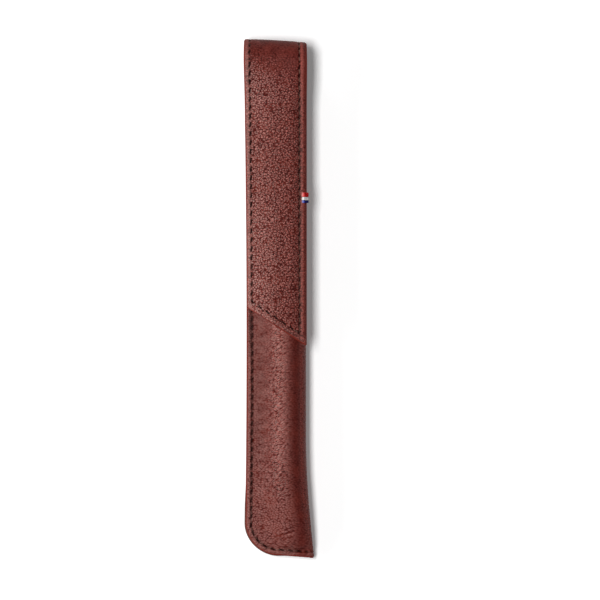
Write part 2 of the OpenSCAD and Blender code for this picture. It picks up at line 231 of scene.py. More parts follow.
def fine_grain(u, v):
    """Small shallow pores of the smoother leather."""
    return hills((u + 0.25 * noise(u, v, 0.9, 21)) * 0.6, v + 0.2 * noise(u, v, 1.2, 23), 0.6, 22, 0.45)


def scales(u, v):
    """Flat scales, lying across, of leather that has been bent over a round edge."""
    wv = v + 0.25 * noise(u, v, 1.4, 47)
    return hills((u + 0.4 * noise(u, v, 1.0, 48)) * 0.34, wv * 1.15, 0.6, 49, 0.5)


def creases_in(x, y, creases):
    """Wrinkles, each given as start, end, width and depth: how far the surface lies from its plain height."""
    total = np.zeros_like(x)
    for (ax, ay), (bx, by), width, depth in creases:
        length = math.hypot(bx - ax, by - ay)
        along = ((x - ax) * (bx - ax) + (y - ay) * (by - ay)) / length
        across = ((x - ax) * (by - ay) - (y - ay) * (bx - ax)) / length
        wander = 0.25 * noise(along + 3 * ax, across * 0.1 + ay, 2.2, 31)
        fade = ease(along / (0.3 * length)) * ease((length - along) / (0.3 * length))
        total = total - depth * bump(across + wander, width) * fade
    return total


# Outline and heights of the pocket, as in the part's source
def waist(y):
    return WAIST_IN * np.maximum(0, 1 - ((y - WAIST_Y) / (FOLD_Y - WAIST_Y)) ** 2)


def arc_in(d, r):
    inside = np.clip(r - np.asarray(d, float), 0, r)
    return r - np.sqrt(r * r - inside ** 2)


def right_x(y):
    return POCKET_W + FLARE * (1 - swell(y / FLARE_LEN))


def slant_rise(x, y):
    return (right_x(y) - x) * math.tan(BOTTOM_SLANT) * np.maximum(0, 1 - y / FLARE_LEN)


def seam_level(y):
    return BOTTOM_Z + (SEAM_Z - BOTTOM_Z) * ease((y - BAND_W) / PINCH_LEN)


def section_parts(y):
    """The pocket's section at each y as eight curves of four control points, from back edge to front edge."""
    xl, xr = waist(y) + arc_in(y, CORNER_R), right_x(y)
    w, zs = xr - xl, seam_level(y)
    zb = (BOTTOM_Z - STACK_T / 2) * (1 - ease((y - BAND_W) / PINCH_LEN))
    floor_z = BOTTOM_Z + STACK_T / 2
    zt = floor_z + (POCKET_H - floor_z) * np.sqrt(swell((y - BAND_W) / PINCH_LEN))
    r, low, high = (zt - zb) / 2, zs - STACK_T / 2, zs + STACK_T / 2

    def at(x, z):
        return np.stack([x, z], -1)

    def straight(a, b):
        return a, a + (b - a) / 3, a + (b - a) * 2 / 3, b

    def quarter(a, corner, b):
        return a, a + QUARTER * (corner - a), b + QUARTER * (corner - b), b

    e0, g0, t0 = at(xl, low), at(xl + BAND_W, low), at(xl + TOE_X * w, zb)
    t1, side, crest = at(xr - r, zb), at(xr, zb + r), at(xr - r, zt)
    foot = at(xl + FOOT_X * w, high + FOOT_Z * (zt - high))
    angle = FOOT_ANGLE * (zt - high) / (POCKET_H - SEAM_Z - STACK_T / 2)
    tan, none = np.tan(angle), np.zeros_like(y)
    along = at(HANDLE * (crest - foot)[:, 0], HANDLE * (crest - foot)[:, 0] * tan)
    down_x = HANDLE * (foot[:, 0] - xl - BAND_W)
    down = at(down_x, down_x * tan)
    g1, e1 = at(xl + BAND_W, high), at(xl, high)
    rise = at(down_x * RISE, down_x * RISE * np.tan(angle / 3))
    toe, reach = at((t0 - g0)[:, 0] / 2, none), at(HANDLE * w / 2, none)
    return [straight(e0, g0), (g0, g0 + toe, t0 - toe, t0), straight(t0, t1),
            quarter(t1, at(xr, zb), side), quarter(side, at(xr, zt), crest),
            (crest, crest - reach, foot + along, foot), (foot, foot - down, g1 + rise, g1),
            straight(g1, e1)]


def section(y, columns):
    """Points (rows, columns, [x, z]) of the section. A column is the number of a curve plus a share of it."""
    parts = section_parts(y)
    out = np.zeros((len(y), len(columns), 2))
    for i, c in enumerate(columns):
        k = min(int(c), 7)
        t = c - k
        a, b, d, e = parts[k]
        s = 1 - t
        out[:, i] = s * s * s * a + 3 * s * s * t * b + 3 * s * t * t * d + t * t * t * e
    return out


def run_along(points):
    steps = np.linalg.norm(np.diff(points, axis=-2), axis=-1)
    zero = np.zeros(steps.shape[:-1] + (1,))
    return np.concatenate([zero, np.cumsum(steps, -1)], -1)


def strip_index(columns):
    return int(np.searchsorted(columns, STRIP_COLUMN - SLIGHTLY))


def pocket_base(ys, columns):
    """The pocket's outside and the back strip above its mouth, where only the back is meant."""
    flat = section(ys, columns)
    mouth = section(np.array([MOUTH_Y]), columns)[0]
    run = run_along(mouth)
    target = np.stack([STRIP_W * run / run[strip_index(columns)], np.zeros_like(run)], -1)
    m = ease((ys - MOUTH_Y) / (FOLD_Y - MOUTH_Y))[:, None, None]
    flat = np.where(ys[:, None, None] > MOUTH_Y, mouth + m * (target - mouth), flat)
    x, z = flat[..., 0], flat[..., 1]
    y = ys[:, None] + slant_rise(x, ys[:, None])
    more = BACK_MORE * np.clip(1 - columns, 0, 1)[None] * ease((26 - ys[:, None]) / 10)
    in_x = np.clip(CORNER_R - (x - waist(ys[:, None])), 0, CORNER_R)
    in_y = np.clip(CORNER_R - ys[:, None], 0, CORNER_R)
    far = np.maximum(np.hypot(in_x, in_y), 1e-6)
    flare = FLARE_MORE * (columns / 4).clip(0, 1)[None] * (1 - swell(ys[:, None] / FLARE_LEN))
    x = x - more * in_x / far + flare
    y = y - more * in_y / far
    return np.stack([x, y, z], -1)


def unit(vectors):
    return vectors / np.maximum(np.linalg.norm(vectors, axis=-1, keepdims=True), TINY)


def normals(points):
    """Unit normals of a grid of points: rows' way x columns' way."""
    return unit(np.cross(np.gradient(points, axis=0), np.gradient(points, axis=1)))


def skewed(points):
    """The fold's slant: points above the mouth slip down, more so towards the right."""
    out = points.copy()
    slip = FOLD_DROP + FOLD_SKEW * points[..., 0]
    out[..., 1] -= slip * ease((points[..., 1] - MOUTH_Y) / (FOLD_Y - MOUTH_Y))
    return out


def skin_at(u, v):
    """A point's place on the unrolled skin, which the materials use."""
    return np.stack([u, v, np.zeros_like(u)], -1)


# Meshes
def in_frame(points):
    return (np.asarray(points).reshape(-1, 3) - (CENTRE_X, LENGTH / 2, 0)) * MM


def mesh_object(name, points, faces, attributes, material):
    mesh = bpy.data.meshes.new(name)
    mesh.from_pydata(in_frame(points).tolist(), [], faces)
    build = bmesh.new()
    build.from_mesh(mesh)
    bmesh.ops.recalc_face_normals(build, faces=build.faces)
    build.to_mesh(mesh)
    build.free()
    mesh.polygons.foreach_set("use_smooth", [True] * len(mesh.polygons))
    mesh.set_sharp_from_angle(angle=math.radians(60))
    for key, values in attributes.items():
        values = np.asarray(values, np.float32)
        kind, field = ("FLOAT_VECTOR", "vector") if values.ndim == 2 else ("FLOAT", "value")
        mesh.attributes.new(key, kind, "POINT").data.foreach_set(field, values.ravel())
    mesh.materials.append(material)
    obj = bpy.data.objects.new(name, mesh)
    bpy.context.scene.collection.objects.link(obj)
    return obj


def zip_sides(a, a_at, b, b_at):
    """Triangles between two lines of vertices that run the same way; a_at and b_at are where they are."""
    faces, i, j = [], 0, 0
    way = 1 if a_at[-1] > a_at[0] else -1
    while i < len(a) - 1 or j < len(b) - 1:
        if j == len(b) - 1 or (i < len(a) - 1 and way * a_at[i + 1] <= way * b_at[j + 1]):
            faces.append((a[i], a[i + 1], b[j]))
            i += 1
        else:
            faces.append((a[i], b[j + 1], b[j]))
            j += 1
    return faces


def grid_faces(ids):
    """Quads of a grid of vertex numbers; a quad with a number below 0 is left out."""
    quads = np.stack([ids[:-1, :-1], ids[:-1, 1:], ids[1:, 1:], ids[1:, :-1]], -1).reshape(-1, 4)
    return quads[(quads >= 0).all(1)].tolist()


def border(rs, cs, cut_r, cut_c):
    """The sides of a grid in order round it, each a list of (row, column). Past cut_r it ends at cut_c."""
    return [[(rs[0], c) for c in cs], [(r, cs[-1]) for r in rs[rs <= cut_r]],
            [(cut_r, c) for c in cs[cs >= cut_c][::-1]], [(r, cut_c) for r in rs[rs >= cut_r]],
            [(rs[-1], c) for c in cs[cs <= cut_c][::-1]], [(r, cs[0]) for r in rs[::-1]]]


def some(first, last, step, *near):
    """Every step-th number from first to last, both ends, and all of those that are near."""
    return np.array(sorted({last}.union(range(first, last + 1, step), *near) & set(range(first, last + 1))))


def numbered(shape, rs, cs, cut_r, cut_c, start):
    """Vertex numbers of a grid's points, row by row, in an array of that shape with -1 for no vertex."""
    there = np.zeros(shape, bool)
    there[np.ix_(rs, cs)] = (rs[:, None] <= cut_r) | (cs[None] <= cut_c)
    ids = np.full(shape, -1)
    ids[there] = start + np.arange(there.sum())
    return there, ids


def sheet(name, outer, inner, step, butt, marks, material, cut=None):
    """A closed sheet. outer and inner are grids of points; inner keeps every step-th row and column.
    butt names the ends, "first" or "last" row, that meet another piece square and aren't rounded.
    cut is (row, column): past that row the sheet goes on only up to that column."""
    shape = outer.shape[:2]
    rows, cols = shape
    row0 = 0 if "first" in butt else 1
    row1 = rows - 1 if "last" in butt else rows - 2
    fine = 5
    near = [range(at - fine, at + fine) for at in cut] if cut else [(), ()]
    rs = some(row0, row1, step, range(row0, row0 + fine), near[0])
    cs = some(1, cols - 2, step, range(1, fine), range(cols - fine, cols - 1), near[1])
    outside = (np.arange(rows), np.arange(cols), *(cut or (rows - 1, cols - 1)))
    inside = (rs, cs, *((cut[0] - 1, cut[1] - 1) if cut else (rs[-1], cs[-1])))
    out_there, out_ids = numbered(shape, *outside, 0)
    in_there, in_ids = numbered(shape, *inside, out_there.sum())

    faces = grid_faces(out_ids) + grid_faces(in_ids[np.ix_(rs, cs)])
    for k, (a, b) in enumerate(zip(border(*outside), border(*inside))):
        axis = 1 - k % 2
        faces += zip_sides([int(out_ids[p]) for p in a], [p[axis] for p in a],
                           [int(in_ids[p]) for p in b], [p[axis] for p in b])
    points = np.concatenate([outer[out_there], inner[in_there]])
    attributes = {key: np.concatenate([mark[out_there], mark[in_there]]) for key, mark in marks.items()}
    return mesh_object(name, points, faces, attributes, material)


def settle(piece, body, node=None):
    """Puts a piece on its body, in place of the part's own node if it has one."""
    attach(piece, body)
    if node:
        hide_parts(node)


def thickness(base, n, depth, t, edge, height):
    """Outer and inner face of a layer that starts depth below base, rounded off towards its edges."""
    share = np.clip(edge / EDGE_ROUND / (t / LEATHER_T), 0, 1)
    half = np.sqrt(1 - (1 - share) ** 2)[..., None] * t / 2
    middle = base - n * (np.asarray(depth)[..., None] + t / 2)
    return middle + n * (half + np.asarray(height)[..., None] * share[..., None]), middle - n * half


def layer(name, kind, base, n, edge, marks, height=0, depth=0, butt=("last",), cut=None):
    """A layer of the strip, of one of LAYERS, as a closed sheet with the fold's slant."""
    material, t, step = LAYERS[kind]
    outer, inner = thickness(base, n, depth, t, edge, height)
    return sheet(name, skewed(outer), skewed(inner), step, butt, marks, material, cut)


# Materials
class Nodes:
    """Short way to build a node material. A value is a number, a colour, a node or a node's output."""

    def __init__(self, name):
        self.material = bpy.data.materials.new(name)
        self.material.use_nodes = True
        self.tree = self.material.node_tree
        self.shader = self.tree.nodes["Principled BSDF"]

    def add(self, kind, settings=(), **inputs):
        node = self.tree.nodes.new("ShaderNode" + kind)
        for key, value in dict(settings).items():
            setattr(node, key, value)
        for key, value in inputs.items():
            self.put(node, key, value)
        return node

    def put(self, node, socket, value):
        if isinstance(value, bpy.types.Node):
            value = value.outputs[0]
        if isinstance(value, bpy.types.NodeSocket):
            self.tree.links.new(value, node.inputs[socket])
        else:
            node.inputs[socket].default_value = value

    def math(self, operation, *values):
        node = self.add("Math", {"operation": operation})
        for i, value in enumerate(values):
            self.put(node, i, value)
        return node

    def scaled(self, value, by, plus=0.0):
        """A value times another, plus a third."""
        return self.math("MULTIPLY_ADD", value, by, plus)

    def mix(self, factor, a, b, blend="MIX"):
        node = self.add("Mix", {"data_type": "RGBA", "blend_type": blend})
        for socket, value in ((0, factor), (6, a), (7, b)):
            self.put(node, socket, value)
        return node.outputs[2]

    def mark(self, name, output="Fac"):
        return self.add("Attribute", {"attribute_name": name}).outputs[output]

    def skin_noise(self, skin, scale, detail, **more):
        flat = {"noise_dimensions": "2D"}
        return self.add("TexNoise", flat, Vector=skin, Scale=scale, Detail=detail, **more)

    def solid_noise(self, scale, detail, stretch=None, **more):
        place = self.add("TexCoord").outputs["Object"]
        if stretch:
            place = self.add("Mapping", Vector=place, Scale=stretch)
        return self.add("TexNoise", Vector=place, Scale=scale, Detail=detail, **more)

    def finish(self, colour, roughness, height, distance, specular=None):
        """Colour, roughness and a fine relief, distance deep, and how much of a shine it has."""
        self.put(self.shader, "Base Color", colour)
        self.put(self.shader, "Roughness", roughness)
        self.put(self.shader, "Normal", self.add("Bump", Height=height, Distance=distance))
        if specular is not None:
            self.put(self.shader, "Specular IOR Level", specular)
        return self.material


def srgb(r, g, b):
    """A colour given as it looks on screen, 0 to 255."""
    def linear(c):
        c /= 255
        return c / 12.92 if c <= 0.04045 else ((c + 0.055) / 1.055) ** 2.4
    return (linear(r), linear(g), linear(b), 1)


def leather_material():
    n = Nodes("leather")
    skin, paint, lined = n.mark("skin", "Vector"), n.mark("paint"), n.mark("lined")
    cloud = n.skin_noise(skin, 0.22, 3.0)
    speck = n.skin_noise(skin, 1.9, 4.0, Roughness=0.6)
    line = n.skin_noise(n.add("Mapping", Vector=skin, Scale=(0.8, 2.6, 1.0)), 1.0, 3.0, Distortion=0.4)
    pores = n.add("TexVoronoi", {"voronoi_dimensions": "2D", "feature": "SMOOTH_F1"},
                  Vector=skin, Scale=2.6, Smoothness=0.5)
    # Tone holds the grain's own colour, and painted shade and highlights where the light falls
    base = n.mix(n.mark("tone_and_painted_light"), LEATHER_VALLEY, LEATHER_HILL)
    base = n.mix(n.scaled(cloud, 0.8, -0.3), base, LEATHER_WARM)
    fleck = n.math("MULTIPLY", n.math("SUBTRACT", speck, 0.5), n.mark("fleck"))
    streak = n.math("MULTIPLY", n.math("SUBTRACT", line, 0.5), lined)
    tint = n.scaled(n.scaled(streak, STREAK_SHARE, fleck), FLECK_DEPTH, 1.0)
    base = n.mix(1.0, base, n.add("CombineColor", Red=tint, Green=tint, Blue=tint), "MULTIPLY")
    # Painted highlight: pale glints mixed into the colour where the skin would catch the light
    base = n.mix(n.mark("painted_glint"), base, LEATHER_PAINTED_GLINT)
    base = n.mix(paint, base, EDGE_PAINT)
    # Painted shade in the needle slits, mixed in towards near-black
    base = n.mix(n.mark("painted_shade"), base, HOLE_PAINTED_SHADE)
    rough = n.scaled(speck, 0.1, n.scaled(n.mark("gloss"), -0.3, 0.6))
    rough = n.scaled(n.math("SUBTRACT", PAINT_ROUGH, rough), paint, rough)
    n.put(n.shader, "Specular Tint", LEATHER_GLOSS)
    height = n.scaled(speck, 0.5, n.scaled(pores, -0.5))
    return n.finish(base, rough, n.scaled(n.scaled(line, lined), 6.0, height), 0.06 * MM, 0.12)


def lining_material():
    n = Nodes("lining")
    skin = n.mark("skin", "Vector")
    nap = n.skin_noise(skin, 2.6, 5.0, Roughness=0.7)
    base = n.mix(n.scaled(nap, 1.5, -0.25), LINING_LOW, LINING_HIGH)
    base = n.mix(n.scaled(n.skin_noise(skin, 0.16, 2.0), 0.8, -0.2), base, LINING_WARM)
    n.put(n.shader, "Sheen Weight", 0.1)
    n.put(n.shader, "Sheen Roughness", 0.5)
    return n.finish(base, 0.9, nap, 0.08 * MM, 0.1)


def thread_material():
    n = Nodes("thread")
    fibre = n.solid_noise(5200.0, 3.0)
    base = n.mix(n.scaled(fibre, 1.4, -0.2), THREAD_LOW, THREAD_HIGH)
    base = n.mix(n.scaled(n.solid_noise(420.0, 2.0), 1.2, -0.35), base, THREAD_WORN)
    return n.finish(base, 0.62, fibre, 0.04 * MM, 0.15)


def ribbon_material():
    n = Nodes("ribbon")
    apart = n.add("SeparateXYZ", Vector=n.mark("skin", "Vector"))
    along, across = apart.outputs[0], apart.outputs[1]

    def stripes(red, white, blue):
        two = n.mix(n.math("GREATER_THAN", across, RIBBON_RED_FROM), white, red)
        return n.mix(n.math("LESS_THAN", across, RIBBON_BLUE_TO), two, blue)

    wave = n.math("SINE", n.scaled(along, 2 * math.pi / RIBBON_WAVE))
    wale = n.math("SINE", n.scaled(across, 2 * math.pi / RIBBON_WALE))
    weave = n.scaled(n.scaled(wave, wale), 0.5, 0.5)
    # Painted shade where the ribbon turns from the light, between the threads of its weave and in the grooves
    # between its stripes, and a painted highlight on its crest
    base = n.mix(n.mark("painted_shade"), stripes(*RIBBON_FACING), stripes(*RIBBON_PAINTED_TURN_SHADE))
    base = n.mix(n.scaled(weave, -0.2, 0.2), base, RIBBON_SHADE)
    base = n.mix(n.mark("painted_glint"), base, RIBBON_PAINTED_GLINT)
    base = n.mix(n.mark("groove"), base, RIBBON_SHADE)
    return n.finish(base, 0.45, weave, 0.03 * MM, 0.04)


def metal_material(name, rough):
    n = Nodes(name)
    streak = n.solid_noise(4.0, 3.0, (900.0, 60.0, 900.0))
    n.put(n.shader, "Metallic", 1.0)
    base = n.mix(n.scaled(streak, 0.3), STEEL, STEEL_SHADE)
    return n.finish(base, n.scaled(streak, 0.25, rough), streak, 0.01 * MM)


def board_material():
    n = Nodes("board")
    fibre = n.solid_noise(1300.0, 5.0, Roughness=0.7)
    return n.finish(n.mix(fibre, BOARD_LOW, BOARD_HIGH), 0.85, fibre, 0.04 * MM)


# The leather: valleys and hills of its grain, warm clouds, edge, pale glints painted as highlights, and shade
# painted in the needle holes
LEATHER_VALLEY = srgb(60, 5, 2)
LEATHER_HILL = srgb(146, 72, 65)
LEATHER_WARM = srgb(118, 44, 33)
EDGE_PAINT = srgb(112, 38, 29)
PAINT_ROUGH = 0.9
LEATHER_PAINTED_GLINT = srgb(190, 172, 164)
LEATHER_GLOSS = (1.0, 0.9, 0.82, 1)
FLECK_DEPTH = 3.6
STREAK_SHARE = 0.7
HOLE_PAINTED_SHADE = srgb(20, 5, 4)
LINING_LOW = srgb(84, 48, 42)
LINING_HIGH = srgb(118, 76, 67)
LINING_WARM = srgb(106, 62, 52)
THREAD_LOW = srgb(66, 46, 38)
THREAD_HIGH = srgb(114, 86, 75)
THREAD_WORN = srgb(90, 58, 48)
# The ribbon's red, white and blue where it faces the light, and darker copies painted as shade where it turns
# from the light
RIBBON_FACING = [srgb(226, 6, 6), srgb(242, 240, 238), srgb(14, 46, 176)]
RIBBON_PAINTED_TURN_SHADE = [srgb(180, 0, 4), srgb(232, 226, 226), srgb(6, 8, 80)]
RIBBON_PAINTED_GLINT = srgb(244, 240, 236)
RIBBON_SHADE = srgb(24, 10, 20)
RIBBON_RED_FROM, RIBBON_BLUE_TO = 2.05, 0.94
RIBBON_WAVE, RIBBON_WALE = 0.34, 0.3
# Finishes of what lies inside the flap and the pocket
STEEL = srgb(196, 197, 200)
STEEL_SHADE = srgb(120, 120, 124)
BOARD_LOW = srgb(150, 124, 98)
BOARD_HIGH = srgb(196, 172, 142)

leather = leather_material()
lining = lining_material()
thread = thread_material()
ribbon = ribbon_material()
# Each layer's material, thickness, and step of its inner face
LAYERS = {"leather": (leather, LEATHER_T, 4), "lining": (lining, LINING_T, 1)}


# Stitches
# The thread's two plies, how far a stitch sinks in and dives at its ends, and the slits that it dives into
PLY_R = 0.135
PLY_OFF = 0.115
PLY_SIDES = 6
STITCH_RINGS = 12
STITCH_TWIST = 1.6
STITCH_SINK = 0.14
STITCH_DIVE = 1.0
STITCH_LEAN = 0.2
SLIT_HALF = 0.86
SLIT_WIDE = 0.25
SEWN_FLOOR = -0.2


def stitch_gap(s, pitch, first=0.0):
    """How far along a line of stitches from the middle of the nearest gap between two stitches."""
    middle = first + STITCH_L + (pitch - STITCH_L) / 2
    return (s - middle + pitch / 2) % pitch - pitch / 2


def sewn(line, gap, deep=0.12, wide=0.34):
    """Relief along a line of stitches, line to the right of it: groove, and slits where the thread dives; and
    the slits as a mask of painted shade.
    """
    far = np.abs(gap)
    slit = bump(line - STITCH_LEAN * gap, SLIT_WIDE) * ease((SLIT_HALF + 0.15 - far) / 0.3)
    pull = bump(line, 0.65) * ease((SLIT_HALF + 0.4 - far) / 0.9)
    return -deep * bump(line, wide) - 0.5 * slit - 0.05 * pull, np.clip(slit * 1.8, 0, 1)


def stitches(name, runs):
    """Twisted two-ply stitches. Each run is (points, normals) of the surface under one stitch."""
    t = np.linspace(0, 1, STITCH_RINGS)
    around = np.arange(PLY_SIDES) * 2 * math.pi / PLY_SIDES
    points, faces = [], []
    for path, n in runs:
        dive = STITCH_DIVE * ease((np.abs(2 * t - 1) - 0.4) / 0.6)
        centre = path + n * (STITCH_SINK - dive)[:, None]
        tangent = unit(np.gradient(centre, axis=0))
        side = unit(np.cross(tangent, n))
        centre = centre + side * (STITCH_LEAN * SLIT_HALF * (1 - 2 * t))[:, None]
        up = np.cross(side, tangent)
        for ply in (0, math.pi):
            turn = 2 * math.pi * STITCH_TWIST * t + ply
            middle = centre + PLY_OFF * (np.cos(turn)[:, None] * side + np.sin(turn)[:, None] * up)
            ring = middle[:, None] + PLY_R * (np.cos(around)[None, :, None] * side[:, None]
                                              + np.sin(around)[None, :, None] * up[:, None])
            start = sum(len(p) for p in points)
            points.append(ring.reshape(-1, 3))
            ids = start + np.arange(STITCH_RINGS * PLY_SIDES).reshape(STITCH_RINGS, PLY_SIDES)
            faces += grid_faces(np.concatenate([ids, ids[:, :1]], 1))
            faces += [tuple(ids[0][::-1].tolist()), tuple(ids[-1].tolist())]
    return mesh_object(name, np.concatenate(points), faces, {}, thread)


# Pocket
def section_columns(band, near, clear, steps):
    """Columns of the pocket's section. band divides both faces of the seam, near lies to both sides of the
    strip's end, and the other columns of that curve stay clear of it. steps is for the curves between."""
    back, under, strip, side, top, panel = steps
    rest = [c for c in spaced([3, 4], [strip]) if abs(c - STRIP_COLUMN) > near[-1] + clear]
    beside = [STRIP_COLUMN + way * d for way in (-1, 1) for d in near]
    return np.array(sorted(set(np.concatenate([
        band, 1 + spaced(*back), 2 + spaced([0, 1], [under]), rest, [STRIP_COLUMN], beside,
        4 + spaced([0, 1], [side]), 5 + spaced([0, 1], [top]), 6 + spaced([0, 1], [panel]),
        8 - band]).round(9))))


# Length of the curve on which the strip ends, and how far columns lie to both sides of that end
STRIP_CURVE = 9.7
NEAR = [0.02, 0.06, 0.14, 0.24, 0.36, 0.5, 0.7, 1.0, 1.3, 1.6, 1.85, 2.05, 2.2]
SKIN_COLUMNS = section_columns(
    spaced([0, 0.1, 0.5, 1.4, BAND_W], [0.03, 0.1, 0.22, 0.12]) / BAND_W, np.array(NEAR) / STRIP_CURVE, 0.01,
    (([0, 0.25, 1], [0.03, 0.09]), 0.06, 0.028, 0.03, 0.028, 0.032))
LINING_COLUMNS = section_columns(
    spaced([0, 0.3, BAND_W], [0.1, 0.5]) / BAND_W, np.array([0.04, 0.12, 0.3, 0.6]) / STRIP_CURVE, 0.02,
    (([0, 1], [0.15]), 0.12, 0.1, 0.09, 0.09, 0.09))

# How deep the leather is drawn in along the seam, on the side and beside the flap's end
TROUGH = 0.25
TROUGH_TIP = 0.5
# The proud band outside the stitches, the hatch on the flank, and the shallow dents
BEAD_H, BEAD_AT, BEAD_WIDE = 0.34, 1.45, 0.7
HATCH_DEEP = 0.36
DENT_DEEP, DENT_WIDE = 0.08, 11.0
PORE_DEEP = 0.2
# How far the panel sags beside the flank, and how far the top rounds over
SAG, SAG_X, SAG_WIDE = 0.45, 7.2, 2.7
ROUND_OVER, ROUND_OVER_WIDE = 0.55, 5.6
# Columns of the section: where the front starts, its crest line, the flank, and the middle of the panel
FRONT_FROM, CREST_LINE, FLANK, PANEL = 4.5, 5.43, 5.55, 6.5
KEEPER_FROM, KEEPER_TO = 4.45, 5.55
BOTTOM_CREASES = [((10.0, 7.6), (15.5, 8.2), 0.24, 0.2), ((12.5, 8.0), (18.5, 9.8), 0.22, 0.22),
                  ((12.0, 6.6), (17.5, 7.4), 0.26, 0.16), ((13.5, 9.4), (18.0, 11.3), 0.24, 0.16),
                  ((10.8, 8.3), (15.0, 9.0), 0.22, -0.1), ((13.5, 7.7), (18.4, 9.0), 0.22, -0.12)]


def on_side(y):
    """The seam lies deeper down the side than round the corner and along the bottom."""
    return ease((y - 12) / 10)


def under_tip(y):
    """The seam is drawn in deeper beside the flap's end."""
    return ease((y - 64) / 16) * ease((92 - y) / 5)


def pocket_edges(ys, columns, base):
    """For each point: its row's y, its run along the section, and how far it is from the sewn edge, from the
    back strip's right edge and from any edge."""
    x, y = base[..., 0], np.broadcast_to(ys[:, None], base.shape[:2])
    run, xs = run_along(base), x - waist(y)
    in_corner = (xs < CORNER_R) & (y < CORNER_R)
    seam = np.where(in_corner, CORNER_R - np.hypot(CORNER_R - xs, CORNER_R - y), np.minimum(xs, y))
    right = np.where(y >= MOUTH_Y, run[:, strip_index(columns)][:, None] - run, FAR)
    mouth = np.where(columns[None] > STRIP_COLUMN, MOUTH_Y - y, FAR)
    return y, run, seam, right, np.maximum(np.minimum(np.minimum(seam, right), mouth), 0)


def pocket_sewing(x, y, seam, right):
    """Relief of the stitches round the pocket and up both edges of the back strip, and painted shade in their
    holes.
    """
    xs = x - waist(y)
    turned = SIDE_RUN + np.arctan2(CORNER_R - y, CORNER_R - xs) * BEND_R
    along = np.where((xs < CORNER_R) & (y < CORNER_R), turned,
                     np.where(y >= CORNER_R, CORNER_R + SIDE_RUN - y, SIDE_RUN + BEND_RUN + xs - CORNER_R))
    on_seam = ease((SEAM_RUN - along) / 0.6 + 1) * ease((FOLD_Y + 3 - y) / 2)
    on_right = ease((y - MOUTH_Y - 1) / 1.5)
    relief, painted_shade = sewn(STITCH_LEFT - seam, stitch_gap(along, STITCH_PITCH), 0.26, 0.42)
    gap = stitch_gap(y - MOUTH_Y - STITCH_PITCH / 2, STITCH_PITCH)
    relief_right, painted_shade_right = sewn(STITCH_RIGHT - right, gap)
    return (relief * on_seam + relief_right * on_right,
            np.maximum(0.65 * painted_shade * on_seam, painted_shade_right * on_right))


def pocket_cut(ys, columns):
    """The row and the column past which the mouth leaves only the back."""
    return int(np.searchsorted(ys, MOUTH_Y - SLIGHTLY)), strip_index(columns)


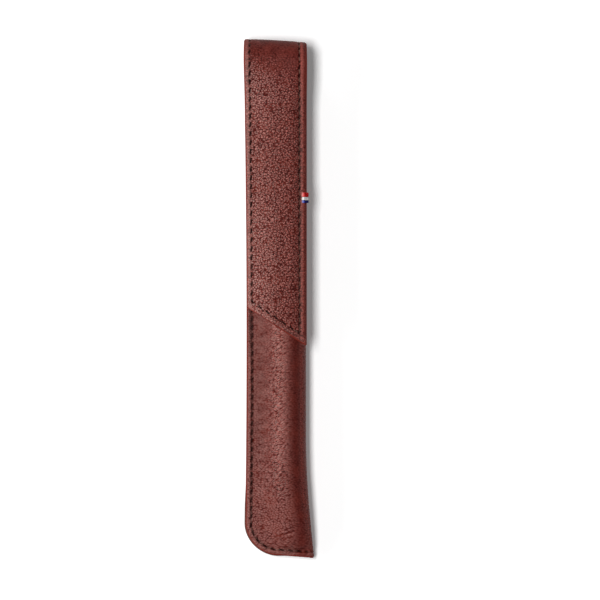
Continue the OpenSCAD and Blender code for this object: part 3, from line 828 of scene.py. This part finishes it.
def make_pocket():
    ys = spaced([0, 0.1, 0.5, 3.2, 12, 28, MOUTH_Y - 0.6, MOUTH_Y - 0.1, MOUTH_Y, MOUTH_Y + 0.4, FOLD_Y],
                [0.03, 0.1, 0.13, 0.17, 0.18, 0.19, 0.1, 0.034, 0.1, 0.26])
    base = pocket_base(ys, SKIN_COLUMNS)
    n = normals(base)
    row_y, run, seam, right, edge = pocket_edges(ys, SKIN_COLUMNS, base)
    x, y = base[..., 0], base[..., 1]
    sewing, painted_shade = pocket_sewing(x, row_y, seam, right)
    u, v = run, y
    col = np.broadcast_to(SKIN_COLUMNS[None], x.shape)
    front = col > FRONT_FROM

    # The band outside the stitches stands proud on the front; the panel beside it sinks before it rises
    beside = seam - STITCH_LEFT
    trough = TROUGH * bump(beside - 0.1, 0.45) * on_side(y)
    trough = trough + TROUGH_TIP * bump(beside + 0.5, 0.5) * under_tip(y)
    bead = BEAD_H * bump(seam - BEAD_AT, BEAD_WIDE)

    # Fine slanting creases on the flank that faces the light, softer ones across the panel
    flank = bump(col - FLANK, 0.55) * ease((y - 16) / 10) * front
    panel = bump(col - PANEL, 0.5) * front
    slant = (y - 0.45 * x) + 0.5 * noise(u, v, 3.0, 41)
    ripple = 0.5 * noise(slant, u * 0.3, 0.3, 42) + 1.6 * (scales(u, slant) - 0.52)
    across = 0.012 * noise(y + 0.15 * x, x * 0.12, 1.9, 44) + 0.07 * noise(y + 0.1 * x, x * 0.4, 0.75, 46)
    creases = HATCH_DEEP * flank * ripple + across * panel * ease((y - 4) / 12)
    creases = creases + creases_in(x, y, BOTTOM_CREASES) * front
    dents = DENT_DEEP * noise(u, v, DENT_WIDE, 45) * ease((edge - 2.5) / 4) * front

    # The panel sags a little beside the flank, and the top rounds over early
    up = np.clip(n[..., 2], 0, 1) * ease((col - 4) / 0.5) * ease((y - 8) / 20)
    crest = right_x(y) - POCKET_H / 2
    shape = -(SAG * bump(x - SAG_X, SAG_WIDE) + ROUND_OVER * ease((x - crest + 2.4) / ROUND_OVER_WIDE)) * up

    # The pores fade towards the edges, on the panel, on the flank and on the side that turns away
    # Painted shade on the side turned from the light, where the pores are shallower too
    painted_dark_side = bump(x - right_x(y) + 3.3, 2.9) * front
    calm = bump(col - PANEL, 0.8) * ease((y - 30) / 20) * front
    hide = ease((edge - 0.3) / 0.4) * (1 + 0.35 * ease((45 - y) / 25))
    hide = hide * (1 - 0.6 * flank) * (1 - 0.5 * painted_dark_side) * (1 - 0.45 * calm)
    grain = fine_grain(u, v)
    pores = (grain - 0.6) * hide
    height = sewing + (bead - trough) * front + shape + creases + dents
    height = height + PORE_DEEP * (grain - 0.5) * hide

    upper = ease((y - 22) / 20) * front
    # Painted highlight along the crest line, where the flank faces the light; the leather is glossier there
    # too
    painted_crest_highlight = bump(col - CREST_LINE, 0.42) * upper
    # Painted light in the pocket's colour: crease hollows darker and their crests paler, painted highlight on
    # the crest line and on the band outside the stitches, and painted shade on the side turned from the
    # light, in the seam's groove, on the panel and beside the flap's end
    tone_and_painted_light = 0.34 + 0.6 * pores + 1.9 * creases + 0.38 * painted_crest_highlight - 0.26 * painted_dark_side
    tone_and_painted_light = tone_and_painted_light - 0.2 * bump(beside - 0.1, 0.5) - 0.08 * bump(col - 6.7, 0.6) * upper
    tone_and_painted_light = tone_and_painted_light - 0.4 * bump(beside + 0.65, 0.6) * under_tip(y) + 0.12 * bump(seam - 1.1, 0.7) * front
    # Painted glints on the pores, the creases, the crest line and the band, none on the side turned from the
    # light
    painted_glint = 0.05 + 0.14 * pores + 0.7 * creases + 0.06 * painted_crest_highlight + 0.05 * bump(seam - 1.2, 0.8)
    painted_glint = painted_glint * (1 - painted_dark_side) * ease((x + 1) / 4 + 0.4) * front
    gloss = 0.5 + 0.7 * pores + 1.6 * creases + 0.4 * painted_crest_highlight
    fleck = 0.3 + 0.5 * flank + 0.3 * bump(seam - 1.2, 1.0) + 0.3 * (hide - 1)
    marks = {"skin": skin_at(u, v), "tone_and_painted_light": np.clip(tone_and_painted_light, 0, 1), "gloss": np.clip(gloss, 0, 1),
             "painted_glint": np.clip(painted_glint, 0, 0.3), "lined": np.clip(flank + 0.25 * panel, 0, 1), "painted_shade": painted_shade,
             "paint": ease((PAINT_W - edge) / PAINT_FADE), "fleck": np.clip(fleck, 0, 1)}
    piece = layer("pocket_shell", "leather", base, n, edge, marks, height, cut=pocket_cut(ys, SKIN_COLUMNS))
    settle(piece, "pocket", "body_leather")


def make_pocket_lining():
    """The lining, which rises over the keeper plate."""
    ramp, columns = 1.2, LINING_COLUMNS
    ys = spaced([0, 0.3, 3, 12, 28, MAGNET_Y - ramp, MAGNET_Y, MAGNET_Y + MAGNET_L,
                 MAGNET_Y + MAGNET_L + ramp, MOUTH_Y - 0.3, MOUTH_Y, MOUTH_Y + 0.3, FOLD_Y],
                [0.1, 0.35, 0.6, 0.8, 1.2, 0.4, 1.2, 0.4, 1.2, 0.1, 0.1, 0.7])
    base = pocket_base(ys, columns)
    _, run, _, _, edge = pocket_edges(ys, columns, base)
    over = ease((ys - MAGNET_Y + ramp) / ramp) * ease((MAGNET_Y + MAGNET_L + ramp - ys) / ramp)
    across = ease((columns - KEEPER_FROM) / 0.2) * ease((KEEPER_TO - columns) / 0.2)
    depth = LEATHER_T + GLUE_GAP + (KEEPER_T + GLUE_GAP) * over[:, None] * across[None]
    marks = {"skin": skin_at(run, base[..., 1])}
    piece = layer("pocket_inside", "lining", base, normals(base), edge, marks, depth=depth,
                  cut=pocket_cut(ys, columns))
    settle(piece, "pocket", "body_lining")


def make_seam_stitches():
    """Down the left side, round the corner and along the bottom, on the front and on the back."""
    for face, name, node in ((1, "seam_stitches_front", "seam_front_thread"),
                             (-1, "seam_stitches_back", "seam_back_thread")):
        runs = []
        for k in range(int(SEAM_RUN / STITCH_PITCH)):
            s = k * STITCH_PITCH + np.linspace(0, STITCH_L, STITCH_RINGS)
            a = math.pi + (s - SIDE_RUN) / BEND_R
            down, round_corner = s < SIDE_RUN, s < SIDE_RUN + BEND_RUN
            px = np.where(down, STITCH_LEFT, np.where(
                round_corner, CORNER_R + BEND_R * np.cos(a), CORNER_R + s - SIDE_RUN - BEND_RUN))
            py = np.where(down, CORNER_R + SIDE_RUN - s, np.where(
                round_corner, CORNER_R + BEND_R * np.sin(a), STITCH_LEFT))
            x = px + waist(py)
            sunk = (0.1 + (0.2 + TROUGH) * on_side(py) + 1.4 * TROUGH_TIP * under_tip(py)) * (face > 0)
            z = seam_level(py) + face * (STACK_T / 2 + SEWN_FLOOR - sunk)
            path = np.stack([x, py + slant_rise(x, py), z], -1)
            runs.append((path, np.tile([0.0, 0.0, float(face)], (STITCH_RINGS, 1))))
        settle(stitches(name, runs), "pocket", node)


def make_back_stitches():
    """Both edges of the back above the mouth, on the outside and on the lining."""
    ys = MOUTH_Y + np.linspace(0.01, FOLD_Y - MOUTH_Y, 220)
    end = strip_index(SKIN_COLUMNS) + 1
    base = pocket_base(ys, SKIN_COLUMNS)
    n = normals(base)[:, :end]
    base = base[:, :end]
    run = run_along(base)
    for depth, sign, name, node in ((-SEWN_FLOOR, 1, "back_stitches_outside", None),
                                    (LAYERS_T, -1, "back_stitches_inside", "back_edge_thread")):
        runs = []
        for right in (False, True):
            for k in range(int((FOLD_Y - MOUTH_Y - STITCH_L) / STITCH_PITCH)):
                start = MOUTH_Y + STITCH_PITCH / 2 + k * STITCH_PITCH
                path, way = [], []
                for y in start + np.linspace(0, STITCH_L, STITCH_RINGS):
                    row = int(np.argmin(np.abs(ys - y)))
                    at = run[row][-1] - STITCH_RIGHT if right else STITCH_LEFT
                    x, _, z = [np.interp(at, run[row], base[row, :, i]) for i in range(3)]
                    normal = np.array([np.interp(at, run[row], n[row, :, i]) for i in range(3)])
                    path.append(np.array([x, y, z]) - normal * depth)
                    way.append(normal * sign)
                runs.append((skewed(np.array(path)), np.array(way)))
        settle(stitches(name, runs), "pocket", node)


# Flap
EDGE_BAND = 3.4


def end_y(x):
    """Where the flap's slanted end is at x, with its corners rounded."""
    rise = math.tan(FLAP_SLANT)
    return (TIP_Y + (STRIP_W - x) * rise + arc_in(STRIP_W - x, TIP_R)
            + arc_in(np.maximum(x - waist(TIP_Y), 0), TIP_R) * rise)


def flap_z(u, y):
    """Height of the flap's outside at the share u of its width."""
    drop = CROWN_LEFT * table_at(u, LEFT_DROP) + CROWN_RIGHT * table_at(u, RIGHT_DROP)
    return 2 * FOLD_R - drop * ease((FOLD_Y - y) / CROWN_LEN)


def flap_columns(fine):
    """Columns across the strip, closer together in the bands along both of its edges."""
    stops, steps, middle = ([0, 0.3], [0.1, 0.6], 0.7)
    if fine:
        stops, steps, middle = ([0, 0.1, 0.5, 1.5], [0.034, 0.1, 0.2, 0.12], 0.15)
    side = spaced([*stops, EDGE_BAND], steps)
    between = spaced([EDGE_BAND, STRIP_W - EDGE_BAND], [middle])[1:-1]
    return np.concatenate([side, between, STRIP_W - side[::-1]])


def flap_grid(xs, near, far_step, short=0.0):
    """Rows that start parallel to the slanted end, short of it on the right, and turn square to the fold."""
    x_tip = waist(TIP_Y) + xs / STRIP_W * (STRIP_W - waist(TIP_Y))
    y0 = end_y(x_tip) + short * ease((xs / STRIP_W - 0.3) / 0.4)
    n_far = int((FOLD_Y - TIP_Y - 8) / far_step)
    t = np.arange(1, n_far + 1) / n_far
    top = y0 + near[-1]
    y = np.concatenate([y0[None] + near[:, None], top[None] + (FOLD_Y - top)[None] * t[:, None]])
    x_share = np.broadcast_to(xs / STRIP_W, y.shape)
    x = waist(y) + x_share * (STRIP_W - waist(y))
    return np.stack([x, y, flap_z(x_share, y)], -1), x_share


def flap_legs():
    """The flap's three legs of stitches, before the waist is drawn in: start, direction, length and count."""
    rise = SEAM_MARGIN / math.cos(FLAP_SLANT) + TIP_Y
    low = rise + STITCH_RIGHT * math.tan(FLAP_SLANT)
    high = rise + (STRIP_W - STITCH_LEFT) * math.tan(FLAP_SLANT)
    top = FOLD_Y - STITCH_PITCH / 2
    corners = [(STITCH_LEFT, top), (STITCH_LEFT, high), (STRIP_W - STITCH_RIGHT, low),
               (STRIP_W - STITCH_RIGHT, top)]
    for start, end in zip(corners, corners[1:]):
        way = np.subtract(end, start)
        length = math.hypot(*way)
        yield start, way / length, length, int(length / STITCH_PITCH)


# The skin of the fold and the flap, at u across and v along the unrolled strip
# Its gloss and the depth of its grain, smooth and coarse; the pad inside the stitches; the larger relief
FOLD_GLOSS, HIDE_GLOSS = 0.3, 0.6
FOLD_GRAIN, HIDE_GRAIN = 0.2, 0.34
PAD_H, PAD_RISE = 0.22, 1.5
END_ROLL, SHOULDER, WAVES = 0.22, 0.4, 0.06
LEFT_BEAD, RIGHT_BEAD = 0.45, 0.4


def grain_from(u, v):
    """The grain fades in over the front half of the fold, earlier on the left."""
    past_fold = v - FOLD_Y - FOLD_RUN
    return ease((past_fold + 14 - 9 * u / STRIP_W) / 19)


def hide_at(u, v, bottom=FAR):
    """How coarse the grain is, 0 to 1: smooth on the fold, on the edges and on the right-hand band."""
    side = np.minimum(u, STRIP_W - u)
    band = 0.8 + 0.2 * ease((side - SEAM_MARGIN + 0.3) / 0.7)
    smooth = 1 - 0.55 * bump(STRIP_W - u - 1.0, 1.0) * ease(bottom / 4)
    return grain_from(u, v) * ease((np.minimum(side, bottom) - 0.3) / 0.4) * band * smooth


def skin_grain(u, v, hide):
    """The grain, and its relief: pores where the skin is smooth, pebbles where it is coarse."""
    grain = 0.5 * fine_grain(u, v) * (1 - hide) + pebbles(u, v) * hide
    return grain, (FOLD_GRAIN + (HIDE_GRAIN - FOLD_GRAIN) * hide) * (grain - 0.5)


def beads(u):
    """The bands outside both lines of stitches stand proud."""
    return (LEFT_BEAD * bump(u + STITCH_SHIFT - 2.0, 1.0)
            + RIGHT_BEAD * bump(STRIP_W - u - STITCH_SHIFT - 0.95, 0.7))


def skin_look(u, v, hide, grain, painted_light=0.0):
    """Tone, gloss and painted glints of the skin: blotches where it is smooth; painted highlight on the band
    outside each line of stitches and where the flap faces the light, painted shade towards the right, and
    glints on the hills, more towards the left.
    """
    share = u / STRIP_W
    by_left, by_right = u + STITCH_SHIFT, STRIP_W - u - STITCH_SHIFT
    tone_and_painted_light = 0.31 + 0.06 * hide + (0.7 + 2.4 * hide) * (grain - 0.36 - 0.26 * hide)
    tone_and_painted_light = tone_and_painted_light + 0.13 * noise(u, v * 0.5, 1.3, 61) * (1 - hide)
    tone_and_painted_light = tone_and_painted_light + 0.3 * bump(by_left - 1.2, 1.0) + 0.5 * bump(by_right - 1.6, 0.7)
    tone_and_painted_light = tone_and_painted_light + 0.24 * painted_light - (0.05 + 0.07 * (1 - hide)) * share
    gloss = FOLD_GLOSS + (HIDE_GLOSS - FOLD_GLOSS + 1.6 * (grain - 0.62)) * hide
    band_highlight = 0.14 * bump(by_left - 1.3, 1.0) + 0.06 * bump(by_right - 1.75, 0.5)
    painted_glint = (0.3 + 0.24 * painted_light) * (1 - 0.75 * share) * ease((grain - 0.57) / 0.3) * hide
    return tone_and_painted_light, np.clip(gloss, 0, 1), painted_glint + band_highlight * grain_from(u, v)


FLAP_CREASES = [((3.2, 160.6), (8.6, 161.1), 0.28, 0.28), ((3.1, 158.7), (8.2, 159.6), 0.26, 0.24),
                ((3.5, 139.5), (9.0, 139.0), 0.25, 0.08), ((3.3, 131.5), (8.0, 131.0), 0.25, 0.08),
                ((12.5, 147.0), (17.5, 148.0), 0.3, 0.07), ((4.0, 117.0), (9.5, 117.6), 0.25, 0.07),
                ((9.0, 105.0), (15.0, 104.0), 0.3, 0.06), ((13.0, 90.5), (15.5, 95.0), 0.3, 0.12),
                ((15.5, 91.0), (17.5, 98.0), 0.3, 0.09), ((5.0, 97.0), (10.0, 99.5), 0.3, 0.06)]


def flap_sewing(flat_x, y):
    """Relief of the flap's stitches, and painted shade in their holes. The side legs run on to meet the
    fold's.
    """
    reach = 0.3
    height, painted_shade = np.zeros_like(y), np.zeros_like(y)
    for start, way, length, count in flap_legs():
        pitch = length / count
        along = (flat_x - start[0]) * way[0] + (y - start[1]) * way[1]
        across = (flat_x - start[0]) * way[1] - (y - start[1]) * way[0]
        on = ease((along + reach) / reach) * ease((length + reach - along) / reach)
        if way[0] == 0:
            on = np.where(y > FOLD_Y - 2, 1, on)
        relief, slit = sewn(across, stitch_gap(along, pitch, (pitch - STITCH_L) / 2))
        height = np.minimum(height, 0) + relief * on + np.maximum(height, 0)
        painted_shade = np.maximum(painted_shade, slit * on)
    return height, painted_shade


def make_flap():
    near = spaced([0, 0.1, 0.5, 4.2, 6], [0.034, 0.1, 0.13, 0.2])
    base, share = flap_grid(flap_columns(True), near, 0.16)
    x, y = base[..., 0], base[..., 1]
    flat_x = share * STRIP_W
    left, right = flat_x, STRIP_W - flat_x
    bottom = (y - end_y(x)) * math.cos(FLAP_SLANT)
    edge = np.maximum(np.minimum(np.minimum(left, right), bottom), 0)
    u, v = flat_x, 2 * FOLD_Y + FOLD_RUN - y

    # Padded inside the stitches, rolled over at the edges, and raised by what lies inside it
    inside = np.minimum(np.minimum(left + STITCH_SHIFT, right - STITCH_SHIFT), bottom) - SEAM_MARGIN
    height, painted_shade = flap_sewing(flat_x, y)
    height = height + PAD_H * ease(inside / PAD_RISE) * ease((FOLD_Y - y) / 14 + 0.15)
    height = height + beads(flat_x) * ease((bottom - 1) / 2) + END_ROLL * bump(bottom - 1.3, 0.65)
    shoulder = SHOULDER * ease((left - SEAM_MARGIN) / 5) * ease((150 - y) / 40) * ease((right - 3) / 9)
    hide = hide_at(u, v, bottom)
    grain, relief = skin_grain(u, v, hide)
    wrinkles = creases_in(x, y, FLAP_CREASES)
    waves = WAVES * noise(u, v, 6.5, 51) * ease(inside / 2)
    height = height + shoulder + relief + wrinkles + waves

    # Painted highlight on the flap's lower left and on a patch near its top left, where they face the light
    painted_light = (ease((140 - y) / 40) + 0.8 * bump(y - 160, 7)) * (1 - share) ** 2
    end_band = bump(bottom - 1.2, 1.0)
    tone_and_painted_light, gloss, painted_glint = skin_look(u, v, hide, grain, painted_light)
    # Painted shade in the wrinkles' hollows and along the line of stitches, and painted highlight on the band
    # along the slanted end
    tone_and_painted_light = tone_and_painted_light + 1.6 * wrinkles - 0.08 * bump(inside, 0.4) + 0.15 * end_band
    marks = {"skin": skin_at(u, v), "tone_and_painted_light": np.clip(tone_and_painted_light, 0, 1), "gloss": gloss,
             "painted_glint": painted_glint + 0.04 * end_band, "painted_shade": 0.85 * painted_shade,
             "paint": ease((PAINT_W - 0.15 * ease(left - bottom) - edge) / PAINT_FADE),
             "fleck": np.clip(0.25 + 0.75 * hide + 0.5 * end_band, 0, 1)}
    piece = layer("flap_cover", "leather", base, -normals(base), edge, marks, height)
    settle(piece, "flap", "flap_leather")


def make_flap_lining():
    base, share = flap_grid(flap_columns(False), spaced([0, 0.3, 6], [0.1, 0.6]), 0.9, LINING_SHORT)
    flat_x, y, y0 = share * STRIP_W, base[..., 1], base[:1, :, 1]
    bottom = (y - y0) * math.cos(FLAP_SLANT)
    edge = np.maximum(np.minimum(np.minimum(flat_x, STRIP_W - flat_x), bottom), 0)
    along = (y - y0) / (FOLD_Y - y0)
    core = CORE_GAP * np.interp(share, *zip(*CORE_WIDTH)) * np.interp(along, *zip(*CORE_LENGTH))
    marks = {"skin": skin_at(flat_x, 2 * FOLD_Y + FOLD_RUN - y)}
    piece = layer("flap_inside", "lining", base, -normals(base), edge, marks,
                  depth=LEATHER_T + GLUE_GAP + core)
    settle(piece, "flap", "flap_lining")


def flap_surface(x, y):
    """Point of the flap's outside, where x doesn't yet have the waist drawn in."""
    drawn = x + waist(y) * (1 - x / STRIP_W)
    return np.stack([drawn, y, flap_z(x / STRIP_W, y)], -1)


def make_flap_stitches():
    step = 0.05
    for name, node, depth, side in (("flap_stitches_front", "flap_front_thread", SEWN_FLOOR, 1),
                                    ("flap_stitches_back", "flap_back_thread", -LAYERS_T, -1)):
        runs = []
        for start, way, length, count in flap_legs():
            pitch = length / count
            for k in range(count):
                s = k * pitch + (pitch - STITCH_L) / 2 + np.linspace(0, STITCH_L, STITCH_RINGS)
                x, y = start[0] + way[0] * s, start[1] + way[1] * s
                at = flap_surface(x, y)
                n = unit(np.cross(flap_surface(x + step, y) - at, flap_surface(x, y + step) - at))
                runs.append((skewed(at + n * depth), side * n))
        settle(stitches(name, runs), "flap", node)


# Fold: four strips of 45 degrees
FOLD_NODES = ["lower", "middle", "upper"]
HOLD_BACK = math.radians(0.5)
# Where the fold is outermost its middle bulges, its sides are drawn in, and its very corners a little more
BULGE = 0.2
NARROWER = 0.012
CORNER_R_OUT, CORNER_IN = 0.5, 0.55


def on_fold(x, a, depth=0.0):
    """Point of the fold at angle a from the back."""
    out, share = np.sin(a), x / STRIP_W
    corner = CORNER_IN * arc_in(FOLD_R * (1 - out), CORNER_R_OUT) / STRIP_W * 2
    x = STRIP_W / 2 + (x - STRIP_W / 2) * (1 - NARROWER * out ** 2 - corner)
    r = FOLD_R - depth + BULGE * 4 * share * (1 - share) * out ** 2
    x, a, r = np.broadcast_arrays(x, a, r)
    return np.stack([x, FOLD_Y + r * np.sin(a), FOLD_R - r * np.cos(a)], -1)


def fold_normal(a):
    return np.stack([np.zeros_like(a), np.sin(a), -np.cos(a)], -1)


def fold_gap(s):
    """How far from the middle of the nearest gap in the fold's stitches; s runs along the fold's outside."""
    pitch = SECTOR / 2 * FOLD_R
    return (s + pitch / 2) % pitch - pitch / 2


def bend(piece, k, slot):
    """Bakes strip k into its mesh where it stands, and hides the part's own node for it if there is one. The
    line that the slanted fold keeps square to itself is worked out but not used.
    """
    a0, a1 = k * SECTOR + HOLD_BACK, (k + 1) * SECTOR - HOLD_BACK
    start, end = skewed(on_fold(0.0, np.array(a0))), skewed(on_fold(0.0, np.array(a1)))
    way = end - start
    way[0] = FOLD_SKEW * way[1]
    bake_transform(piece)
    if k < len(FOLD_NODES):
        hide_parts(f"fold_{slot}_{FOLD_NODES[k]}")


def fold_skin(u, s, edge):
    """Relief and shader marks of the fold's leather, at s along its outside."""
    v = FOLD_Y + s
    line = np.where(u < STRIP_W / 2, STITCH_LEFT, STRIP_W - STITCH_RIGHT) - u
    height, painted_shade = sewn(line, fold_gap(s))
    hide = hide_at(u, v)
    grain, relief = skin_grain(u, v, hide)
    height = height + beads(u) * (0.1 + 0.9 * ease((s / FOLD_R - math.pi / 2) / 1.2))
    height = height + 0.15 * PAD_H * ease((edge - SEAM_MARGIN) / PAD_RISE) + relief
    tone_and_painted_light, gloss, painted_glint = skin_look(u, v, hide, grain)
    # Painted shade along the fold's lines of stitches
    tone_and_painted_light = tone_and_painted_light - 0.08 * bump(edge - SEAM_MARGIN, 0.5)
    return height, {"tone_and_painted_light": np.clip(tone_and_painted_light, 0, 1), "gloss": gloss, "painted_glint": painted_glint, "painted_shade": 0.7 * painted_shade,
                    "paint": ease((PAINT_W - edge) / PAINT_FADE), "fleck": 0.25 + 0.75 * hide}


def make_fold():
    # Name, kind of layer, length of a row, and depth below the outside
    layers = (("fold_cover", "leather", 0.2, 0), ("fold_inside", "lining", 0.5, LEATHER_T + GLUE_GAP))
    for k in range(4):
        for name, kind, row, depth in layers:
            fine = kind == "leather"
            xs = flap_columns(fine)
            a = spaced([k * SECTOR, (k + 1) * SECTOR], [row / FOLD_R])[:, None]
            u, s = np.broadcast_arrays(xs[None], a * FOLD_R)
            edge = np.maximum(np.minimum(u, STRIP_W - u), 0)
            height, marks = fold_skin(u, s, edge) if fine else (0, {})
            marks["skin"] = skin_at(u, FOLD_Y + s)
            piece = layer(f"{name}_{k + 1}", kind, on_fold(xs[None], a), fold_normal(a), edge, marks, height,
                          depth, ("first", "last"))
            bend(piece, k, kind)
        make_fold_stitches(k)


def make_fold_stitches(k):
    runs = []
    turn = STITCH_L / FOLD_R
    for x in (STITCH_LEFT, STRIP_W - STITCH_RIGHT):
        for share in (0.25, 0.75):
            a = (k + share) * SECTOR + np.linspace(-turn / 2, turn / 2, STITCH_RINGS)
            for depth, side in ((-SEWN_FLOOR + 0.12, 1), (LAYERS_T, -1)):
                runs.append((skewed(on_fold(x, a, depth)), side * fold_normal(a)))
    bend(stitches(f"fold_stitches_{k + 1}", runs), k, "thread")


# Ribbon tab
def make_tab():
    """A ribbon folded round the flap's right edge, from the line of stitches to the line of stitches."""
    x0, x1 = STRIP_W - SEAM_MARGIN + THREAD_D + GLUE_GAP, STRIP_W
    z0, z1 = [flap_z(x / STRIP_W, TAB_Y - TAB_L / 2) for x in (x0, x1)]
    slope = (z1 - z0) / (x1 - x0)
    middle_z = z1 - LAYERS_T / 2
    # Radius round the edge, how far it lies clear of the leather and arches over it, rounded edge, step
    r, lift, arch, bevel, step = LAYERS_T / 2 + 0.1, 0.22, 0.9, 0.12, 0.09
    top = [(x0 - 0.15, z0 - 0.3), (x0 + 0.1, z0 + lift * 0.5), (x0 + 0.45, z0 + 0.45 * slope + lift + arch),
           (x0 + 0.65, z0 + 0.65 * slope + lift + arch), (x1 - 0.15, z1 - 0.15 * slope + lift * 1.6)]
    arc = [(x1 + 0.03 + r * math.cos(a) * 0.34, middle_z + (r + 0.02) * math.sin(a))
           for a in np.linspace(math.radians(70), math.radians(-70), 9)]
    under = [(x1 - 0.3, z1 - 0.3 * slope - LAYERS_T - lift * 0.6), (x0 + 0.1, z0 - LAYERS_T - lift * 0.6)]
    rough = np.array(top + arc + under)
    run = run_along(rough)
    s = np.arange(0, run[-1], step)
    path = np.stack([np.interp(s, run, rough[:, i]) for i in (0, 1)], -1)
    for _ in range(6):
        path[1:-1] = (path[:-2] + 2 * path[1:-1] + path[2:]) / 4
    tangent = unit(np.gradient(path, axis=0))

    # Half its thickness: woven, with each stripe a little puffed
    w = spaced([0, bevel, TAB_L - bevel, TAB_L], [0.04, 0.075, 0.04])
    s, w = np.broadcast_arrays(s[:, None], w[None])
    edge = np.minimum(w, TAB_L - w)
    ends = [0, RIBBON_BLUE_TO, RIBBON_RED_FROM, TAB_L]
    puff = sum(np.sqrt(np.clip(1 - (2 * (w - lo) / (hi - lo) - 1) ** 2, 0, 1)) * ((w >= lo) & (w <= hi))
               for lo, hi in zip(ends, ends[1:]))
    weave = 0.02 * np.sin(s * 2 * math.pi / RIBBON_WAVE) * np.sin(w * 2 * math.pi / RIBBON_WALE)
    half = TAB_T / 2 * np.sqrt(1 - (1 - np.clip(edge / bevel, 0, 1)) ** 2)
    half = half + 0.12 * np.minimum(puff, 1) * (edge > 0) + np.where(edge > 0.1, weave, 0)
    outer, inner = [np.stack([path[:, :1] - side * tangent[:, 1:] * half, TAB_Y - TAB_L + w,
                              path[:, 1:] + side * tangent[:, :1] * half], -1) for side in (1, -1)]

    # Painted shade in the grooves between stripes and where the ribbon turns down past its crest, and a
    # painted highlight near its left end
    groove = 0.6 * bump(np.minimum(np.abs(w - RIBBON_BLUE_TO), np.abs(w - RIBBON_RED_FROM)), 0.09)
    x, z = path[:, :1], path[:, 1:]
    falling = ease((x - x0 - 0.5) / 0.35) * ease((z - middle_z + r) / r)
    marks = {"skin": skin_at(s, w), "painted_shade": np.broadcast_to(falling, s.shape), "groove": groove,
             "painted_glint": 0.35 * bump(x - x0 - 0.2, 0.3) * (z > middle_z) * (1 - groove)}
    piece = sheet("tab_ribbon", outer, inner, 1, ("first", "last"), marks, ribbon)
    settle(piece, "flap", "ribbon_tab")


make_pocket()
make_pocket_lining()
make_seam_stitches()
make_back_stitches()
make_fold()
make_flap()
make_flap_lining()
make_flap_stitches()
make_tab()

# Pieces that stay as they are and get a finish
for node, material in (("keeper_plate", metal_material("keeper_steel", 0.3)),
                       ("flap_magnet", metal_material("magnet_plating", 0.22)),
                       ("flap_stiffener", board_material())):
    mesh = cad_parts[node].data
    mesh.materials.clear()
    mesh.materials.append(material)

# Floor, light and camera, in metres
# The even light all round, and what the floor gives off by itself where it is seen
FILL = 0.08
FLOOR_LIFT = 0.17
FLOOR_SIZE = 6
PAPER_LOW, PAPER_HIGH = (0.96, 0.96, 0.96, 1), (0.97, 0.97, 0.97, 1)
LAMP_FAR = 2.2
# Soft boxes on the left: name, degrees above the horizon, width, length, brightness on a white sheet
LAMPS = [("key", 75, 0.55, 1.2, 0.85), ("side", 25, 0.9, 1.5, 0.45)]
# Width of what the picture shows at the height of the sleeve's middle, and where the camera is
PICTURE_W = 0.2057
CAMERA_FAR = 2.6
PICTURE_Z = 0.007
CAMERA_X, CAMERA_Y = 0.00738, -0.00073
SENSOR_W = 36


def seen_directly(tree):
    """1 for what the camera sees, straight or in metal or glass; 0 for the light that falls on the object."""
    path = tree.nodes.new("ShaderNodeLightPath")
    seen = path.outputs["Is Camera Ray"]
    for ray in ("Is Glossy Ray", "Is Transmission Ray"):
        either = tree.nodes.new("ShaderNodeMath")
        either.operation = "MAXIMUM"
        tree.links.new(seen, either.inputs[0])
        tree.links.new(path.outputs[ray], either.inputs[1])
        seen = either.outputs[0]
    return seen


def make_stage():
    bpy.ops.mesh.primitive_plane_add(size=FLOOR_SIZE)
    floor = bpy.context.object
    floor.name = "floor"
    n = Nodes("floor_paper")
    tree = n.tree
    n.put(n.shader, "Base Color", n.mix(n.solid_noise(40.0, 2.0), PAPER_LOW, PAPER_HIGH))
    n.put(n.shader, "Roughness", 1.0)
    n.put(n.shader, "Specular IOR Level", 0.0)
    glow = n.add("Emission", Color=(1, 1, 1, 1), Strength=n.math("MULTIPLY", seen_directly(tree), FLOOR_LIFT))
    both = n.add("AddShader")
    tree.links.new(n.shader.outputs[0], both.inputs[0])
    tree.links.new(glow.outputs[0], both.inputs[1])
    tree.links.new(both.outputs[0], tree.nodes["Material Output"].inputs["Surface"])
    floor.data.materials.append(n.material)

    world = bpy.data.worlds.new("studio")
    bpy.context.scene.world = world
    world.use_nodes = True
    sky = world.node_tree
    background = sky.nodes["Background"]
    background.inputs["Color"].default_value = (1, 1, 1, 1)
    level = sky.nodes.new("ShaderNodeMix")
    level.inputs["A"].default_value = FILL
    level.inputs["B"].default_value = 1
    sky.links.new(seen_directly(sky), level.inputs["Factor"])
    sky.links.new(level.outputs["Result"], background.inputs["Strength"])

    for name, degrees, width, length, brightness in LAMPS:
        angle = math.radians(degrees)
        lamp = bpy.data.lights.new(name, "AREA")
        lamp.shape = "RECTANGLE"
        lamp.size = width
        lamp.size_y = length
        lamp.energy = brightness * math.pi ** 2 * LAMP_FAR ** 2
        holder = bpy.data.objects.new(name, lamp)
        holder.location = (-LAMP_FAR * math.cos(angle), 0, LAMP_FAR * math.sin(angle))
        holder.rotation_euler = (0, angle - math.pi / 2, 0)
        bpy.context.scene.collection.objects.link(holder)


def make_camera():
    lens = bpy.data.cameras.new("camera")
    lens.sensor_width = SENSOR_W
    lens.lens = SENSOR_W * (CAMERA_FAR - PICTURE_Z) / PICTURE_W
    camera = bpy.data.objects.new("camera", lens)
    camera.location = (CAMERA_X, CAMERA_Y, CAMERA_FAR)
    bpy.context.scene.collection.objects.link(camera)
    bpy.context.scene.camera = camera
    bpy.context.scene.view_settings.view_transform = "Standard"


make_stage()
make_camera()
